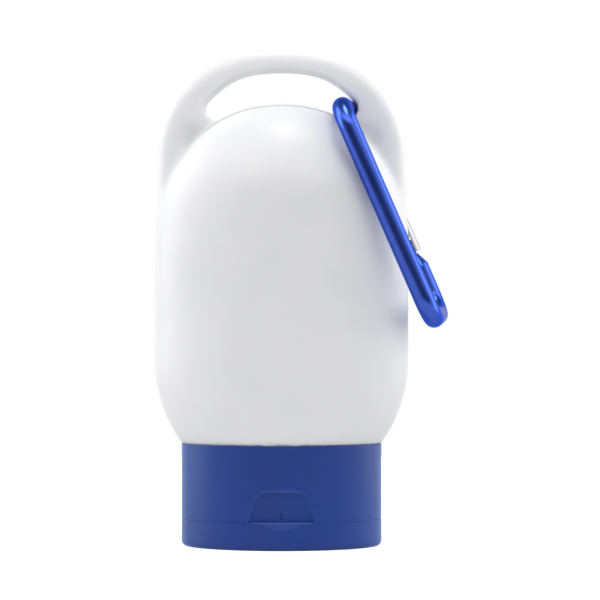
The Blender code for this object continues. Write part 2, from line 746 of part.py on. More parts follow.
def build_lid(plastic):
    """Flip lid: the bottle's foot, a shell with a plug, a catch and a sloping thumb pad."""
    lid = add_object("flip_lid", lid_shell(), plastic)
    room = loft([cap_oval(LID_SET_BACK + CAP_WALL, CAP_WALL),
                 cap_oval(LID_SET_BACK + CAP_WALL, LID_TOP_Z + CUT_OVERRUN)])
    combine(lid, add_tool("tool_lid_room", room), "DIFFERENCE")
    combine(lid, add_tool("tool_plug", plug_solid()), "UNION")
    front = -CAP_HALF_DEPTH + RECESS_FOOT_DEPTH
    lip_low = (-RECESS_FOOT_HALF, front - CAP_WALL / 4, LID_TOP_Z - CAP_WALL)
    lip_high = (RECESS_FOOT_HALF, front + CATCH_DEPTH + CAP_WALL / 4, LID_TOP_Z - RUNNING_GAP)
    combine(lid, add_tool("tool_lip", box(lip_low, lip_high)), "UNION")
    catch_low = (-CATCH_HALF_WIDTH, front, LID_TOP_Z - CAP_WALL / 2)
    catch_high = (CATCH_HALF_WIDTH, front + CATCH_DEPTH, LID_TOP_Z + CATCH_HEIGHT)
    combine(lid, add_tool("tool_catch", box(catch_low, catch_high)), "UNION")
    combine(lid, add_tool("tool_pad", thumb_pad_solid()), "DIFFERENCE")
    combine(lid, add_tool("tool_lid_land", hinge_land_solid()), "DIFFERENCE")
    return lid


def build_living_hinge(plastic):
    """Film hinge, folded to a U behind the closed lid, with a tab on each piece."""
    inner = HINGE_BEND_RADIUS
    outer = inner + HINGE_FILM
    clear = HINGE_LAND_Y + HINGE_TAB_GAP
    centre = (HINGE_AXIS_Y, PARTING_Z)
    quarter = math.pi / 2
    tab_end = inner + HINGE_TAB
    outer_side = [(clear, PARTING_Z + tab_end), (clear + HINGE_FILM, PARTING_Z + tab_end)]
    outer_side += arc_points(centre, outer, quarter, -quarter, CORNER_STEPS)
    outer_side += [(clear + HINGE_FILM, PARTING_Z - tab_end), (clear, PARTING_Z - tab_end)]
    inner_side = arc_points(centre, inner, -quarter, quarter, CORNER_STEPS)
    outline = outer_side + [(clear, PARTING_Z - inner)] + inner_side + [(clear, PARTING_Z + inner)]
    strap = prism(outline, -HINGE_HALF_WIDTH, HINGE_HALF_WIDTH, across_hook)
    return add_object("living_hinge", strap, plastic)


def build_closure():
    """Base, lid and film hinge; the lid turns about the empty at the back."""
    plastic = make_material("blue_polypropylene", (0.030, 0.055, 0.215), 0.42)
    axis = add_empty("lid_axis", (0, HINGE_AXIS_Y, PARTING_Z))
    build_base(plastic)
    lid = build_lid(plastic)
    lid.parent = axis
    lid.matrix_parent_inverse = Matrix.Translation(axis.location).inverted()
    build_living_hinge(plastic)


# Snap hook, modelled upright: Y across the loop, Z along it, its top arm at Z = 0


def hook_route():
    """Centre line of the wire, from the gate's hinge round to the nose."""
    back = HOOK_BACK_REACH
    front = -HOOK_FRONT_REACH
    back_corner = HOOK_BACK_CORNER
    front_corner = HOOK_FRONT_CORNER
    quarter = math.pi / 2
    route = [(back, -(GATE_FROM_TOP + WIRE_RADIUS - SEAM_GAP))]
    route += arc_points((back - back_corner, -back_corner), back_corner, 0, quarter, CORNER_STEPS)
    centre = (front + front_corner, -front_corner)
    route += arc_points(centre, front_corner, quarter, 2 * quarter, CORNER_STEPS)
    centre = (front + front_corner, HOOK_FAR_Z + front_corner)
    route += arc_points(centre, front_corner, 2 * quarter, 3 * quarter, CORNER_STEPS)
    centre = (back - back_corner, HOOK_FAR_Z + back_corner)
    route += arc_points(centre, back_corner, 3 * quarter, 4 * quarter, CORNER_STEPS)
    route.append((back, gate_end_z() - GATE_END_GAP - NOSE_CONE))
    return route


def gate_end_z():
    """Height of the gate's free end when it is shut."""
    return -(GATE_FROM_TOP + WIRE_RADIUS + GATE_LENGTH)


def sweep_wire(route, radii, sides):
    """Sweep a round section along a flat route in the hook's plane."""
    rings = []
    for index, (y, z) in enumerate(route):
        before = Vector(route[max(index - 1, 0)])
        after = Vector(route[min(index + 1, len(route) - 1)])
        along = (after - before).normalized()
        across = Vector((0, -along.y, along.x))
        ring = []
        for side in range(sides):
            angle = math.tau * side / sides
            offset = Vector((math.cos(angle), 0, 0)) + across * math.sin(angle)
            ring.append(Vector((0, y, z)) + offset * radii[index])
        rings.append(ring)
    return loft(rings)


def hinge_tongue_solid():
    """Flat tongue at the wire's end, with a flat heel that the plunger bears on."""
    half = TONGUE_HALF_WIDTH
    back = HOOK_BACK_REACH
    root = -(GATE_FROM_TOP + WIRE_RADIUS - SEAM_GAP) + WIRE_RADIUS / 2
    heel = GATE_PIN_Z - HEEL_DROP
    eased = half / 4
    outline = [
        (back - half, root),
        (back - half, heel + eased),
        (back - half + eased, heel),
        (back + half - eased, heel),
        (back + half, heel + eased),
        (back + half, root),
    ]
    return prism(outline, -TONGUE_HALF_THICKNESS, TONGUE_HALF_THICKNESS, across_hook)


def cross_pin(name, radius, half_length, z):
    """Round pin or hole across the hook's plane at the gate's line."""
    outline = []
    for side in range(PIN_SIDES):
        angle = math.tau * side / PIN_SIDES
        outline.append((HOOK_BACK_REACH + radius * math.cos(angle), z + radius * math.sin(angle)))
    return name, prism(outline, -half_length, half_length, across_hook)


def latch_pin_z():
    """Height of the latch rivet when the gate is shut."""
    return gate_end_z() + LATCH_PIN_RISE


def nose_tongue_solid():
    """Hooked tongue on the nose: its notch opens inwards and takes the latch rivet."""
    back = HOOK_BACK_REACH
    inner = back - TONGUE_HALF_WIDTH
    outer = back + PIN_RADIUS + LATCH_GAP + LATCH_BACK_WALL
    notch = back + PIN_RADIUS + LATCH_GAP
    reach = PIN_RADIUS + LATCH_GAP
    pin_z = latch_pin_z()
    top = gate_end_z() + NOSE_TONGUE_RISE - LATCH_GAP
    foot = gate_end_z() - GATE_END_GAP - NOSE_CONE / 2
    eased = LATCH_GAP
    outline = [
        (inner + reach, foot),
        (outer, foot),
        (outer, top - eased),
        (outer - eased, top),
        (inner + eased, top),
        (inner, top - eased),
        (inner, pin_z + reach),
        (notch, pin_z + reach),
        (notch, pin_z - reach),
        (inner + eased, pin_z - reach),
    ]
    return prism(outline, -TONGUE_HALF_THICKNESS, TONGUE_HALF_THICKNESS, across_hook)


def build_frame(material):
    """Wire frame of the hook with its hinge tongue and hooked nose."""
    route = hook_route()
    radii = [WIRE_RADIUS] * len(route)
    route.append((HOOK_BACK_REACH, gate_end_z() - GATE_END_GAP))
    radii.append(NOSE_TIP_RADIUS)
    frame = add_object("carabiner_frame", sweep_wire(route, radii, WIRE_SIDES), material)
    combine(frame, add_tool("tool_hinge_tongue", hinge_tongue_solid()), "UNION")
    hole = cross_pin("tool_tongue_hole", PIN_RADIUS + RUNNING_GAP, WIRE_RADIUS, GATE_PIN_Z)
    combine(frame, add_tool(*hole), "DIFFERENCE")
    combine(frame, add_tool("tool_nose_tongue", nose_tongue_solid()), "UNION")
    return frame


def gate_body_solid():
    """Gate: a round rod with a chamfer at each end, along its own Z."""
    top = -(GATE_FROM_TOP + WIRE_RADIUS)
    low = gate_end_z()
    eased = GATE_CHAMFER
    profile = [
        (0, low),
        (GATE_RADIUS - eased / 2, low),
        (GATE_RADIUS, low + eased / 2),
        (GATE_RADIUS, top - eased),
        (GATE_RADIUS - eased, top),
        (0, top),
    ]
    bm = lathe(profile, GATE_SIDES)
    bmesh.ops.translate(bm, vec=(0, HOOK_BACK_REACH, 0), verts=bm.verts)
    return bm


def gate_slot(low, high):
    """Cutter for a slot across the gate, clear of the tongue in it."""
    half = TONGUE_HALF_THICKNESS + TONGUE_GAP
    reach = GATE_RADIUS + CUT_OVERRUN
    return box((-half, HOOK_BACK_REACH - reach, low), (half, HOOK_BACK_REACH + reach, high))


def chamber_solid(low, high, radius):
    """Round bore or rod on the gate's axis."""
    bm = lathe([(0, low), (radius, low), (radius, high), (0, high)], PIN_SIDES)
    bmesh.ops.translate(bm, vec=(0, HOOK_BACK_REACH, 0), verts=bm.verts)
    return bm


def hinge_slot_end_z():
    """Height of the closed end of the slot at the gate's hinge."""
    return -(GATE_FROM_TOP + WIRE_RADIUS) - HINGE_SLOT_LENGTH


def build_gate(material):
    """Sprung gate: slotted at both ends, bored for the spring and drilled for two rivets."""
    gate = add_object("carabiner_gate", gate_body_solid(), material)
    top = -(GATE_FROM_TOP + WIRE_RADIUS)
    slot_end = hinge_slot_end_z()
    combine(gate, add_tool("tool_hinge_slot", gate_slot(slot_end, top + CUT_OVERRUN)), "DIFFERENCE")
    latch_top = gate_end_z() + NOSE_TONGUE_RISE + LATCH_SLOT_CLEAR
    latch_slot = gate_slot(gate_end_z() - CUT_OVERRUN, latch_top)
    combine(gate, add_tool("tool_latch_slot", latch_slot), "DIFFERENCE")
    chamber = chamber_solid(slot_end - CHAMBER_LENGTH, slot_end + CHAMBER_RADIUS, CHAMBER_RADIUS)
    combine(gate, add_tool("tool_chamber", chamber), "DIFFERENCE")
    radius = PIN_RADIUS + RUNNING_GAP
    reach = GATE_RADIUS + CUT_OVERRUN
    combine(gate, add_tool(*cross_pin("tool_hinge_hole", radius, reach, GATE_PIN_Z)), "DIFFERENCE")
    combine(gate, add_tool(*cross_pin("tool_latch_hole", radius, reach, latch_pin_z())), "DIFFERENCE")
    return gate


def plunger_tip_z():
    """Height of the plunger's tip, just off the tongue's heel."""
    return GATE_PIN_Z - HEEL_DROP - PLUNGER_GAP


def spring_points():
    """Centre line of the gate's spring, between the plunger and the chamber's end."""
    top = plunger_tip_z() - PLUNGER_LENGTH - PLUNGER_GAP
    low = hinge_slot_end_z() - CHAMBER_LENGTH + PLUNGER_GAP
    top -= SPRING_WIRE_RADIUS
    low += SPRING_WIRE_RADIUS
    count = SPRING_TURNS * SPRING_POINTS_PER_TURN
    points = []
    for index in range(count + 1):
        angle = math.tau * index / SPRING_POINTS_PER_TURN
        x = SPRING_MEAN_RADIUS * math.cos(angle)
        y = HOOK_BACK_REACH + SPRING_MEAN_RADIUS * math.sin(angle)
        points.append(Vector((x, y, top + (low - top) * index / count)))
    return points


def build_spring(material):
    """Compression spring as one unbroken wire."""
    points = spring_points()
    rings = []
    for index, point in enumerate(points):
        before = points[max(index - 1, 0)]
        after = points[min(index + 1, len(points) - 1)]
        along = (after - before).normalized()
        outward = Vector((point.x, point.y - HOOK_BACK_REACH, 0)).normalized()
        across = along.cross(outward)
        ring = []
        for side in range(SPRING_SIDES):
            angle = math.tau * side / SPRING_SIDES
            offset = outward * math.cos(angle) + across * math.sin(angle)
            ring.append(point + offset * SPRING_WIRE_RADIUS)
        rings.append(ring)
    return add_object("gate_spring", loft(rings), material)


def build_hook():
    """Snap hook, tilted and turned as it leans on the bottle's flank."""
    blue = make_material("blue_anodised_aluminium", (0.045, 0.110, 0.560), 0.22, 1.0)
    silver = make_material("bare_aluminium", (0.80, 0.80, 0.82), 0.30, 1.0)
    steel = make_material("rivet_steel", (0.45, 0.45, 0.47), 0.35, 1.0)
    hook_axis = add_empty("hook_axis", (POCKET_HALF_SPAN, 0, POCKET_Z))
    lean = Matrix.Rotation(-HOOK_TILT, 3, "Y") @ Matrix.Rotation(-HOOK_YAW, 3, "Z")
    hook_axis.rotation_euler = lean.to_euler()
    gate_axis = add_empty("gate_axis", (0, HOOK_BACK_REACH - HOOK_FORWARD, GATE_PIN_Z))
    gate_axis.parent = hook_axis
    frame = build_frame(blue)
    frame.parent = hook_axis
    frame.location = (0, -HOOK_FORWARD, 0)
    gate = build_gate(silver)
    rivet_half = GATE_RADIUS - RUNNING_GAP
    hinge_rivet = cross_pin("gate_hinge_pin", PIN_RADIUS, rivet_half, GATE_PIN_Z)
    hinge_pin = add_object(*hinge_rivet, steel)
    latch_rivet = cross_pin("gate_latch_pin", PIN_RADIUS, rivet_half, latch_pin_z())
    latch_pin = add_object(*latch_rivet, steel)
    plunger_low = plunger_tip_z() - PLUNGER_LENGTH
    rod = chamber_solid(plunger_low, plunger_tip_z(), PLUNGER_RADIUS)
    plunger = add_object("gate_plunger", rod, steel)
    spring = build_spring(steel)
    for piece in (gate, hinge_pin, latch_pin, plunger, spring):
        piece.parent = gate_axis
        piece.location = (0, -HOOK_BACK_REACH, -GATE_PIN_Z)


def main():
    """Build every piece of the bottle."""
    clear_scene()
    build_bottle()
    build_closure()
    build_hook()


main()
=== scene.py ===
"""Dresses the travel lotion bottle: moulded bottle, flip-top closure and wire snap hook.

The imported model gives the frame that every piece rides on. Each sub-assembly is a class that holds
its sizes in metres, builds its meshes and dresses them. Each finish is a frozen dataclass.
"""

import logging
import math
from collections.abc import Callable, Sequence
from dataclasses import dataclass, field
from enum import Enum
from typing import Any, Optional, Union

import bmesh
import bpy
import numpy as np
from mathutils import Matrix, Vector


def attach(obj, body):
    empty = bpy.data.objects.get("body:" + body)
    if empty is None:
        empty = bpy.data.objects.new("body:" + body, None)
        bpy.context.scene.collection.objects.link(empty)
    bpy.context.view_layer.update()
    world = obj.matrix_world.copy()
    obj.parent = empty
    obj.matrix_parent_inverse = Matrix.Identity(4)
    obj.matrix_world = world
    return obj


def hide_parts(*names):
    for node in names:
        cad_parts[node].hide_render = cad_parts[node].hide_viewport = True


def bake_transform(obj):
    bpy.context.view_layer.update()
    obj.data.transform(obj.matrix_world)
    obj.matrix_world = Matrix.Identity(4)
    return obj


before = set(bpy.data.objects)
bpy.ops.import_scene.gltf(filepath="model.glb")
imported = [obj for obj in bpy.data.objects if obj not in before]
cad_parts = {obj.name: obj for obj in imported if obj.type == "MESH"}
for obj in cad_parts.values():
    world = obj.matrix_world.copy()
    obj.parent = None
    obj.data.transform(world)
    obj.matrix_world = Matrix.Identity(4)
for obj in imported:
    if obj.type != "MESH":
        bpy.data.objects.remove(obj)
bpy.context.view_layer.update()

log = logging.getLogger("lotion_bottle")

Colour = tuple[float, float, float]
Point = tuple[float, float, float]
Pair = tuple[float, float]
Array = np.ndarray


# Shader and geometry node helpers


class Wire:
    """A node's output socket that takes part in arithmetic.

    Args:
        graph: The graph that new nodes are added to.
        socket: The output socket.
    """

    def __init__(self, graph: "Graph", socket: bpy.types.NodeSocket) -> None:
        self.graph = graph
        self.socket = socket

    @staticmethod
    def _joined(operation: str, swapped: bool = False) -> Callable[["Wire", "Value"], "Wire"]:
        """Return a method that joins a wire and another value by one Math node."""
        def method(wire: "Wire", other: "Value") -> "Wire":
            values = (other, wire) if swapped else (wire, other)
            return wire.graph.maths(operation, *values)
        return method

    __add__, __radd__ = _joined("ADD"), _joined("ADD", True)
    __sub__, __rsub__ = _joined("SUBTRACT"), _joined("SUBTRACT", True)
    __mul__, __rmul__ = _joined("MULTIPLY"), _joined("MULTIPLY", True)
    __truediv__ = _joined("DIVIDE")

    def __abs__(self) -> "Wire":
        """Return the size without its sign."""
        return self.graph.maths("ABSOLUTE", self)


Value = Union[Wire, float]


class Graph:
    """Adds nodes to one node tree.

    Args:
        tree: The shader or geometry node tree.
    """

    def __init__(self, tree: bpy.types.NodeTree) -> None:
        self.tree = tree

    def node(self, kind: str, settings: Optional[dict[str, Any]] = None,
             inputs: Optional[dict[Union[str, int], Any]] = None,
             output: Union[str, int] = 0) -> Wire:
        """Add one node: its settings are set first, then its sockets.

        Args:
            kind: The node's type name.
            settings: Values of the node's own properties.
            inputs: A number, colour or wire for each named or numbered input socket.
            output: The output that is wanted.

        Returns:
            The node's output as a wire.
        """
        node = self.tree.nodes.new(kind)
        for name, value in (settings or {}).items():
            setattr(node, name, value)
        for key, value in (inputs or {}).items():
            socket = node.inputs[key]
            if isinstance(value, Wire):
                self.tree.links.new(value.socket, socket)
            else:
                socket.default_value = value
        return Wire(self, node.outputs[output] if node.outputs else None)

    def maths(self, operation: str, *values: Value) -> Wire:
        """Return one Math node's result."""
        return self.node("ShaderNodeMath", {"operation": operation}, dict(enumerate(values)))

    def clamp_share(self, value: Wire, low: float, high: float) -> Wire:
        """Rise smoothly from 0 at low to 1 at high."""
        limits = {"Value": value, "From Min": low, "From Max": high}
        return self.node("ShaderNodeMapRange", {"interpolation_type": "SMOOTHSTEP"}, limits)

    def coordinates(self, output: str = "Object") -> Wire:
        """Return texture coordinates: by default the piece's own, in metres."""
        return self.node("ShaderNodeTexCoord", output=output)

    def along(self, vector: Wire, axis: str) -> Wire:
        """Return one axis of a vector."""
        return self.node("ShaderNodeSeparateXYZ", None, {"Vector": vector}, output=axis)

    def noise(self, vector: Wire, scale: float, detail: float = 2.0,
              roughness: float = 0.5) -> Wire:
        """Return a noise texture's value, about 0.5 on average."""
        inputs = {"Vector": vector, "Scale": scale, "Detail": detail, "Roughness": roughness}
        return self.node("ShaderNodeTexNoise", None, inputs)

    def blend_colours(self, share: Value, first: Union[Wire, Colour],
                      second: Union[Wire, Colour]) -> Wire:
        """Mix two colours by a share."""
        settings = {"data_type": "RGBA", "clamp_factor": True}
        inputs = {0: share, 6: self._rgba(first), 7: self._rgba(second)}
        return self.node("ShaderNodeMix", settings, inputs, output=2)

    @staticmethod
    def _rgba(colour: Union[Wire, Colour]) -> Union[Wire, tuple[float, ...]]:
        """Give a plain colour its alpha."""
        return colour if isinstance(colour, Wire) else (*colour, 1.0)

    def bump(self, height: Wire, distance: float, normal: Optional[Wire] = None) -> Wire:
        """Return a normal bumped by a height from 0 to 1 that is worth a distance."""
        inputs: dict[Union[str, int], Any] = {"Height": height, "Distance": distance}
        if normal is not None:
            inputs["Normal"] = normal
        return self.node("ShaderNodeBump", None, inputs)


# Finishes


class Finish:
    """A procedural Principled material. A subclass gives its values and its wires."""

    name: str
    roughness: float
    roughness_spread: float

    def constants(self) -> dict[str, Any]:
        """Return the values set on the shader's own sockets."""
        raise NotImplementedError

    def varying(self, graph: Graph) -> dict[str, Wire]:
        """Return the wires that feed sockets of the shader."""
        raise NotImplementedError

    def uneven_roughness(self, noise: Wire) -> Wire:
        """Return the roughness, spread by a noise."""
        return self.roughness - self.roughness_spread / 2 + noise * self.roughness_spread

    def build(self) -> bpy.types.Material:
        """Return the material."""
        material = bpy.data.materials.new(self.name)
        material.use_nodes = True
        tree = material.node_tree
        shader = tree.nodes["Principled BSDF"]
        for key, value in self.constants().items():
            shader.inputs[key].default_value = value
        for key, wire in self.varying(Graph(tree)).items():
            tree.links.new(wire.socket, shader.inputs[key])
        return material


@dataclass(frozen=True)
class MilkyPolyethylene(Finish):
    """Blow-moulded polyethylene: milky, satin, with a faint parting line on its middle plane.

    The handle's upper part is painted a little darker than the belly, as painted shade that tones
    down the light on it. A thin grey line of painted shade runs along the crown's ridge under the
    window.
    """

    name: str = "milky_polyethylene"
    colour: Colour = (0.805, 0.806, 0.814)
    shade: Colour = (0.775, 0.778, 0.792)
    flow_per_metre: float = 90.0
    flow_range: Pair = (0.25, 0.75)
    # Painted shade: the handle's upper part gets a slightly darker copy of the colour, to tone down
    # the light on it.
    handle_shade_colour: Colour = (0.795, 0.797, 0.806)
    handle_shade_from: Pair = (0.086, 0.090)
    # Painted shade: a dark line along the crown's ridge, where the dome turns back under the handle.
    crown_shade_colour: Colour = (0.520, 0.522, 0.535)
    crown_width: float = 0.012
    crown_core: float = 0.4
    crown_low_z: float = 0.0567
    crown_size: Pair = (0.0253, 0.03085)
    crown_power: float = 2.2
    crown_from: Pair = (0.080, 0.0845)
    roughness: float = 0.36
    roughness_spread: float = 0.08
    grain_per_metre: float = 5200.0
    grain_depth: float = 0.000006
    parting_half_width: float = 0.00012
    parting_height: float = 0.00003
    milk: float = 0.50
    milk_depth: float = 0.0035
    milk_radius: Point = (1.0, 0.97, 0.92)
    ior: float = 1.5
    gloss: float = 0.45

    def constants(self) -> dict[str, Any]:
        """Return the values of the milky body and its gloss."""
        return {"Subsurface Weight": self.milk, "Subsurface Scale": self.milk_depth,
                "Subsurface Radius": self.milk_radius, "IOR": self.ior,
                "Specular IOR Level": self.gloss}

    def varying(self, graph: Graph) -> dict[str, Wire]:
        """Return the wires for colour, roughness and normal."""
        place = graph.coordinates()
        flow = graph.noise(place, self.flow_per_metre)
        grain = graph.noise(place, self.grain_per_metre)
        half_width = self.parting_half_width
        depth = abs(graph.along(place, "Y"))
        parting = 1 - graph.clamp_share(depth, half_width / 3, half_width)
        share = graph.clamp_share(flow, *self.flow_range)
        colour = graph.blend_colours(share, self.shade, self.colour)
        # Painted shade: above these heights the colour blends to the handle's darker copy.
        handle = graph.clamp_share(graph.along(place, "Z"), *self.handle_shade_from)
        colour = graph.blend_colours(handle, colour, self.handle_shade_colour)
        # Painted shade along the crown's ridge.
        colour = graph.blend_colours(self._crown_shade_line(graph, place), colour, self.crown_shade_colour)
        fine = graph.bump(grain, self.grain_depth)
        return {
            "Base Color": colour,
            "Roughness": self.uneven_roughness(flow),
            "Normal": graph.bump(parting, self.parting_height, fine),
        }

    def _crown_shade_line(self, graph: Graph, place: Wire) -> Wire:
        """Return 1 on the thin line of painted shade along the crown's ridge, under the window."""
        height = graph.along(place, "Z")
        across = abs(graph.along(place, "X")) / self.crown_size[0]
        up = graph.maths("MAXIMUM", height - self.crown_low_z, 0.0) / self.crown_size[1]
        power = self.crown_power
        form = graph.maths("POWER", across, power) + graph.maths("POWER", up, power)
        core = self.crown_width * self.crown_core
        near = 1 - graph.clamp_share(abs(form - 1), core, self.crown_width)
        return near * graph.clamp_share(height, *self.crown_from)


@dataclass(frozen=True)
class BluePolypropylene(Finish):
    """Injection-moulded blue polypropylene with a fine eroded grain and a satin gloss."""

    name: str = "blue_polypropylene_grained"
    colour: Colour = (0.008, 0.035, 0.238)
    shade: Colour = (0.011, 0.032, 0.212)
    patch_per_metre: float = 70.0
    patch_range: Pair = (0.3, 0.7)
    roughness: float = 0.42
    roughness_spread: float = 0.08
    grain_per_metre: float = 4200.0
    grain_roughness: float = 0.6
    grain_depth: float = 0.00001
    ior: float = 1.5
    gloss: float = 0.55
    gloss_tint: Colour = (0.62, 0.80, 1.0)
    sheen: float = 1.0
    sheen_roughness: float = 0.40
    sheen_tint: Colour = (0.30, 0.50, 1.0)

    def constants(self) -> dict[str, Any]:
        """Return the values of the gloss and of the bluish sheen at the edges."""
        return {"IOR": self.ior, "Specular IOR Level": self.gloss,
                "Specular Tint": (*self.gloss_tint, 1.0), "Sheen Weight": self.sheen,
                "Sheen Roughness": self.sheen_roughness, "Sheen Tint": (*self.sheen_tint, 1.0)}

    def varying(self, graph: Graph) -> dict[str, Wire]:
        """Return the wires for colour, roughness and normal."""
        place = graph.coordinates()
        patches = graph.noise(place, self.patch_per_metre)
        grain = graph.noise(place, self.grain_per_metre, roughness=self.grain_roughness)
        share = graph.clamp_share(patches, *self.patch_range)
        return {
            "Base Color": graph.blend_colours(share, self.shade, self.colour),
            "Roughness": self.uneven_roughness(patches),
            "Normal": graph.bump(grain, self.grain_depth),
        }


@dataclass(frozen=True)
class AnodisedAluminium(Finish):
    """Drawn aluminium wire, dyed bright blue and sealed, with a faint haze and fine pits."""

    name: str = "blue_anodised_wire"
    colour: Colour = (0.062, 0.125, 0.600)
    shade: Colour = (0.048, 0.100, 0.500)
    edge_tint: Colour = (0.30, 0.42, 1.0)
    roughness: float = 0.25
    roughness_spread: float = 0.06
    coat: float = 0.10
    coat_spread: float = 0.05
    coat_roughness: float = 0.10
    coat_ior: float = 1.5
    haze_per_metre: float = 500.0
    haze_detail: float = 3.0
    pit_per_metre: float = 3500.0
    pit_depth: float = 0.000003

    def constants(self) -> dict[str, Any]:
        """Return the values of the metal and its sealed coat."""
        return {"Metallic": 1.0, "Coat Roughness": self.coat_roughness,
                "Coat IOR": self.coat_ior, "Specular Tint": (*self.edge_tint, 1.0)}

    def varying(self, graph: Graph) -> dict[str, Wire]:
        """Return the wires for colour, roughness, coat and normal."""
        place = graph.coordinates()
        haze = graph.noise(place, self.haze_per_metre, self.haze_detail)
        pits = graph.noise(place, self.pit_per_metre)
        return {
            "Base Color": graph.blend_colours(haze, self.shade, self.colour),
            "Roughness": self.uneven_roughness(haze),
            "Coat Weight": self.coat + haze * self.coat_spread,
            "Normal": graph.bump(pits, self.pit_depth),
        }


@dataclass(frozen=True)
class BareMetal(Finish):
    """Undyed turned metal with fine marks."""

    name: str
    colour: Colour
    shade: Colour
    roughness: float
    roughness_spread: float = 0.1
    mark_per_metre: float = 2600.0
    mark_detail: float = 3.0
    mark_depth: float = 0.000004
    marks_per_haze: float = 6.0

    def constants(self) -> dict[str, Any]:
        """Return the values of bare metal."""
        return {"Metallic": 1.0}

    def varying(self, graph: Graph) -> dict[str, Wire]:
        """Return the wires for colour, roughness and normal."""
        place = graph.coordinates()
        marks = graph.noise(place, self.mark_per_metre, self.mark_detail)
        haze = graph.noise(place, self.mark_per_metre / self.marks_per_haze)
        return {
            "Base Color": graph.blend_colours(haze, self.shade, self.colour),
            "Roughness": self.uneven_roughness(haze),
            "Normal": graph.bump(marks, self.mark_depth),
        }


# Mesh helpers


def add_mesh(name: str, points: Array, faces: Sequence[Sequence[int]],
             material: bpy.types.Material, sharp_degrees: float) -> bpy.types.Object:
    """Make a closed, outward-facing mesh object.

    Args:
        name: The piece's name.
        points: Its vertices, in metres.
        faces: Vertex numbers of each face.
        material: The piece's material.
        sharp_degrees: Edges that turn further than this stay crisp.

    Returns:
        The linked object.
    """
    mesh = bpy.data.meshes.new(name)
    mesh.from_pydata([tuple(point) for point in points], [], [tuple(face) for face in faces])
    bm = bmesh.new()
    bm.from_mesh(mesh)
    bmesh.ops.recalc_face_normals(bm, faces=bm.faces)
    bm.to_mesh(mesh)
    bm.free()
    return link_mesh(name, mesh, material, sharp_degrees)


def link_mesh(name: str, mesh: bpy.types.Mesh, material: bpy.types.Material,
              sharp_degrees: float) -> bpy.types.Object:
    """Link a mesh as a smooth object that wears one material."""
    mesh.materials.clear()
    mesh.materials.append(material)
    mesh.shade_smooth()
    mesh.set_sharp_from_angle(angle=math.radians(sharp_degrees))
    return link_object(name, mesh)


def link_object(name: str, data: Optional[bpy.types.ID]) -> bpy.types.Object:
    """Link an object that shows some data."""
    obj = bpy.data.objects.new(name, data)
    bpy.context.collection.objects.link(obj)
    return obj


def bake(obj: bpy.types.Object) -> bpy.types.Mesh:
    """Return the evaluated mesh of an object, and remove the object."""
    depsgraph = bpy.context.evaluated_depsgraph_get()
    mesh = bpy.data.meshes.new_from_object(obj.evaluated_get(depsgraph))
    bpy.data.objects.remove(obj, do_unlink=True)
    return mesh


def loft_faces(rings: int, columns: int, closed: bool = False) -> list[tuple[int, ...]]:
    """Return the quads between neighbouring rings of equal count.

    Args:
        rings: How many rings there are.
        columns: How many points a ring has.
        closed: Whether the last ring joins the first.

    Returns:
        Vertex numbers of the quads.
    """
    faces = []
    for ring in range(rings if closed else rings - 1):
        below = ring * columns
        above = (ring + 1) % rings * columns
        for column in range(columns):
            after = (column + 1) % columns
            faces.append((below + column, below + after, above + after, above + column))
    return faces


def even_span(half: float, step: float) -> Array:
    """Return even places from minus a half width to plus it."""
    return np.arange(-half, half + step / 2, step)


def smooth_step(low: float, high: float, value: Array) -> Array:
    """Rise smoothly from 0 at low to 1 at high."""
    share = np.clip((value - low) / (high - low), 0.0, 1.0)
    return share * share * (3 - 2 * share)


def within(value: Array, limit: float, ramp: float) -> Array:
    """Fall smoothly from 1 to 0 as a value passes a limit."""
    return smooth_step(limit + ramp, limit - ramp, value)


def smooth_max(first: Array, second: Array, reach: float) -> Array:
    """Return the larger value, with a rounded change-over of a given reach."""
    gap = np.maximum(reach - np.abs(first - second), 0.0) / reach
    return np.maximum(first, second) + gap * gap * reach / 4


def smooth_min(first: Array, second: Array, reach: float) -> Array:
    """Return the smaller value, with a rounded change-over of a given reach."""
    return -smooth_max(-first, -second, reach)


# Surface of a field


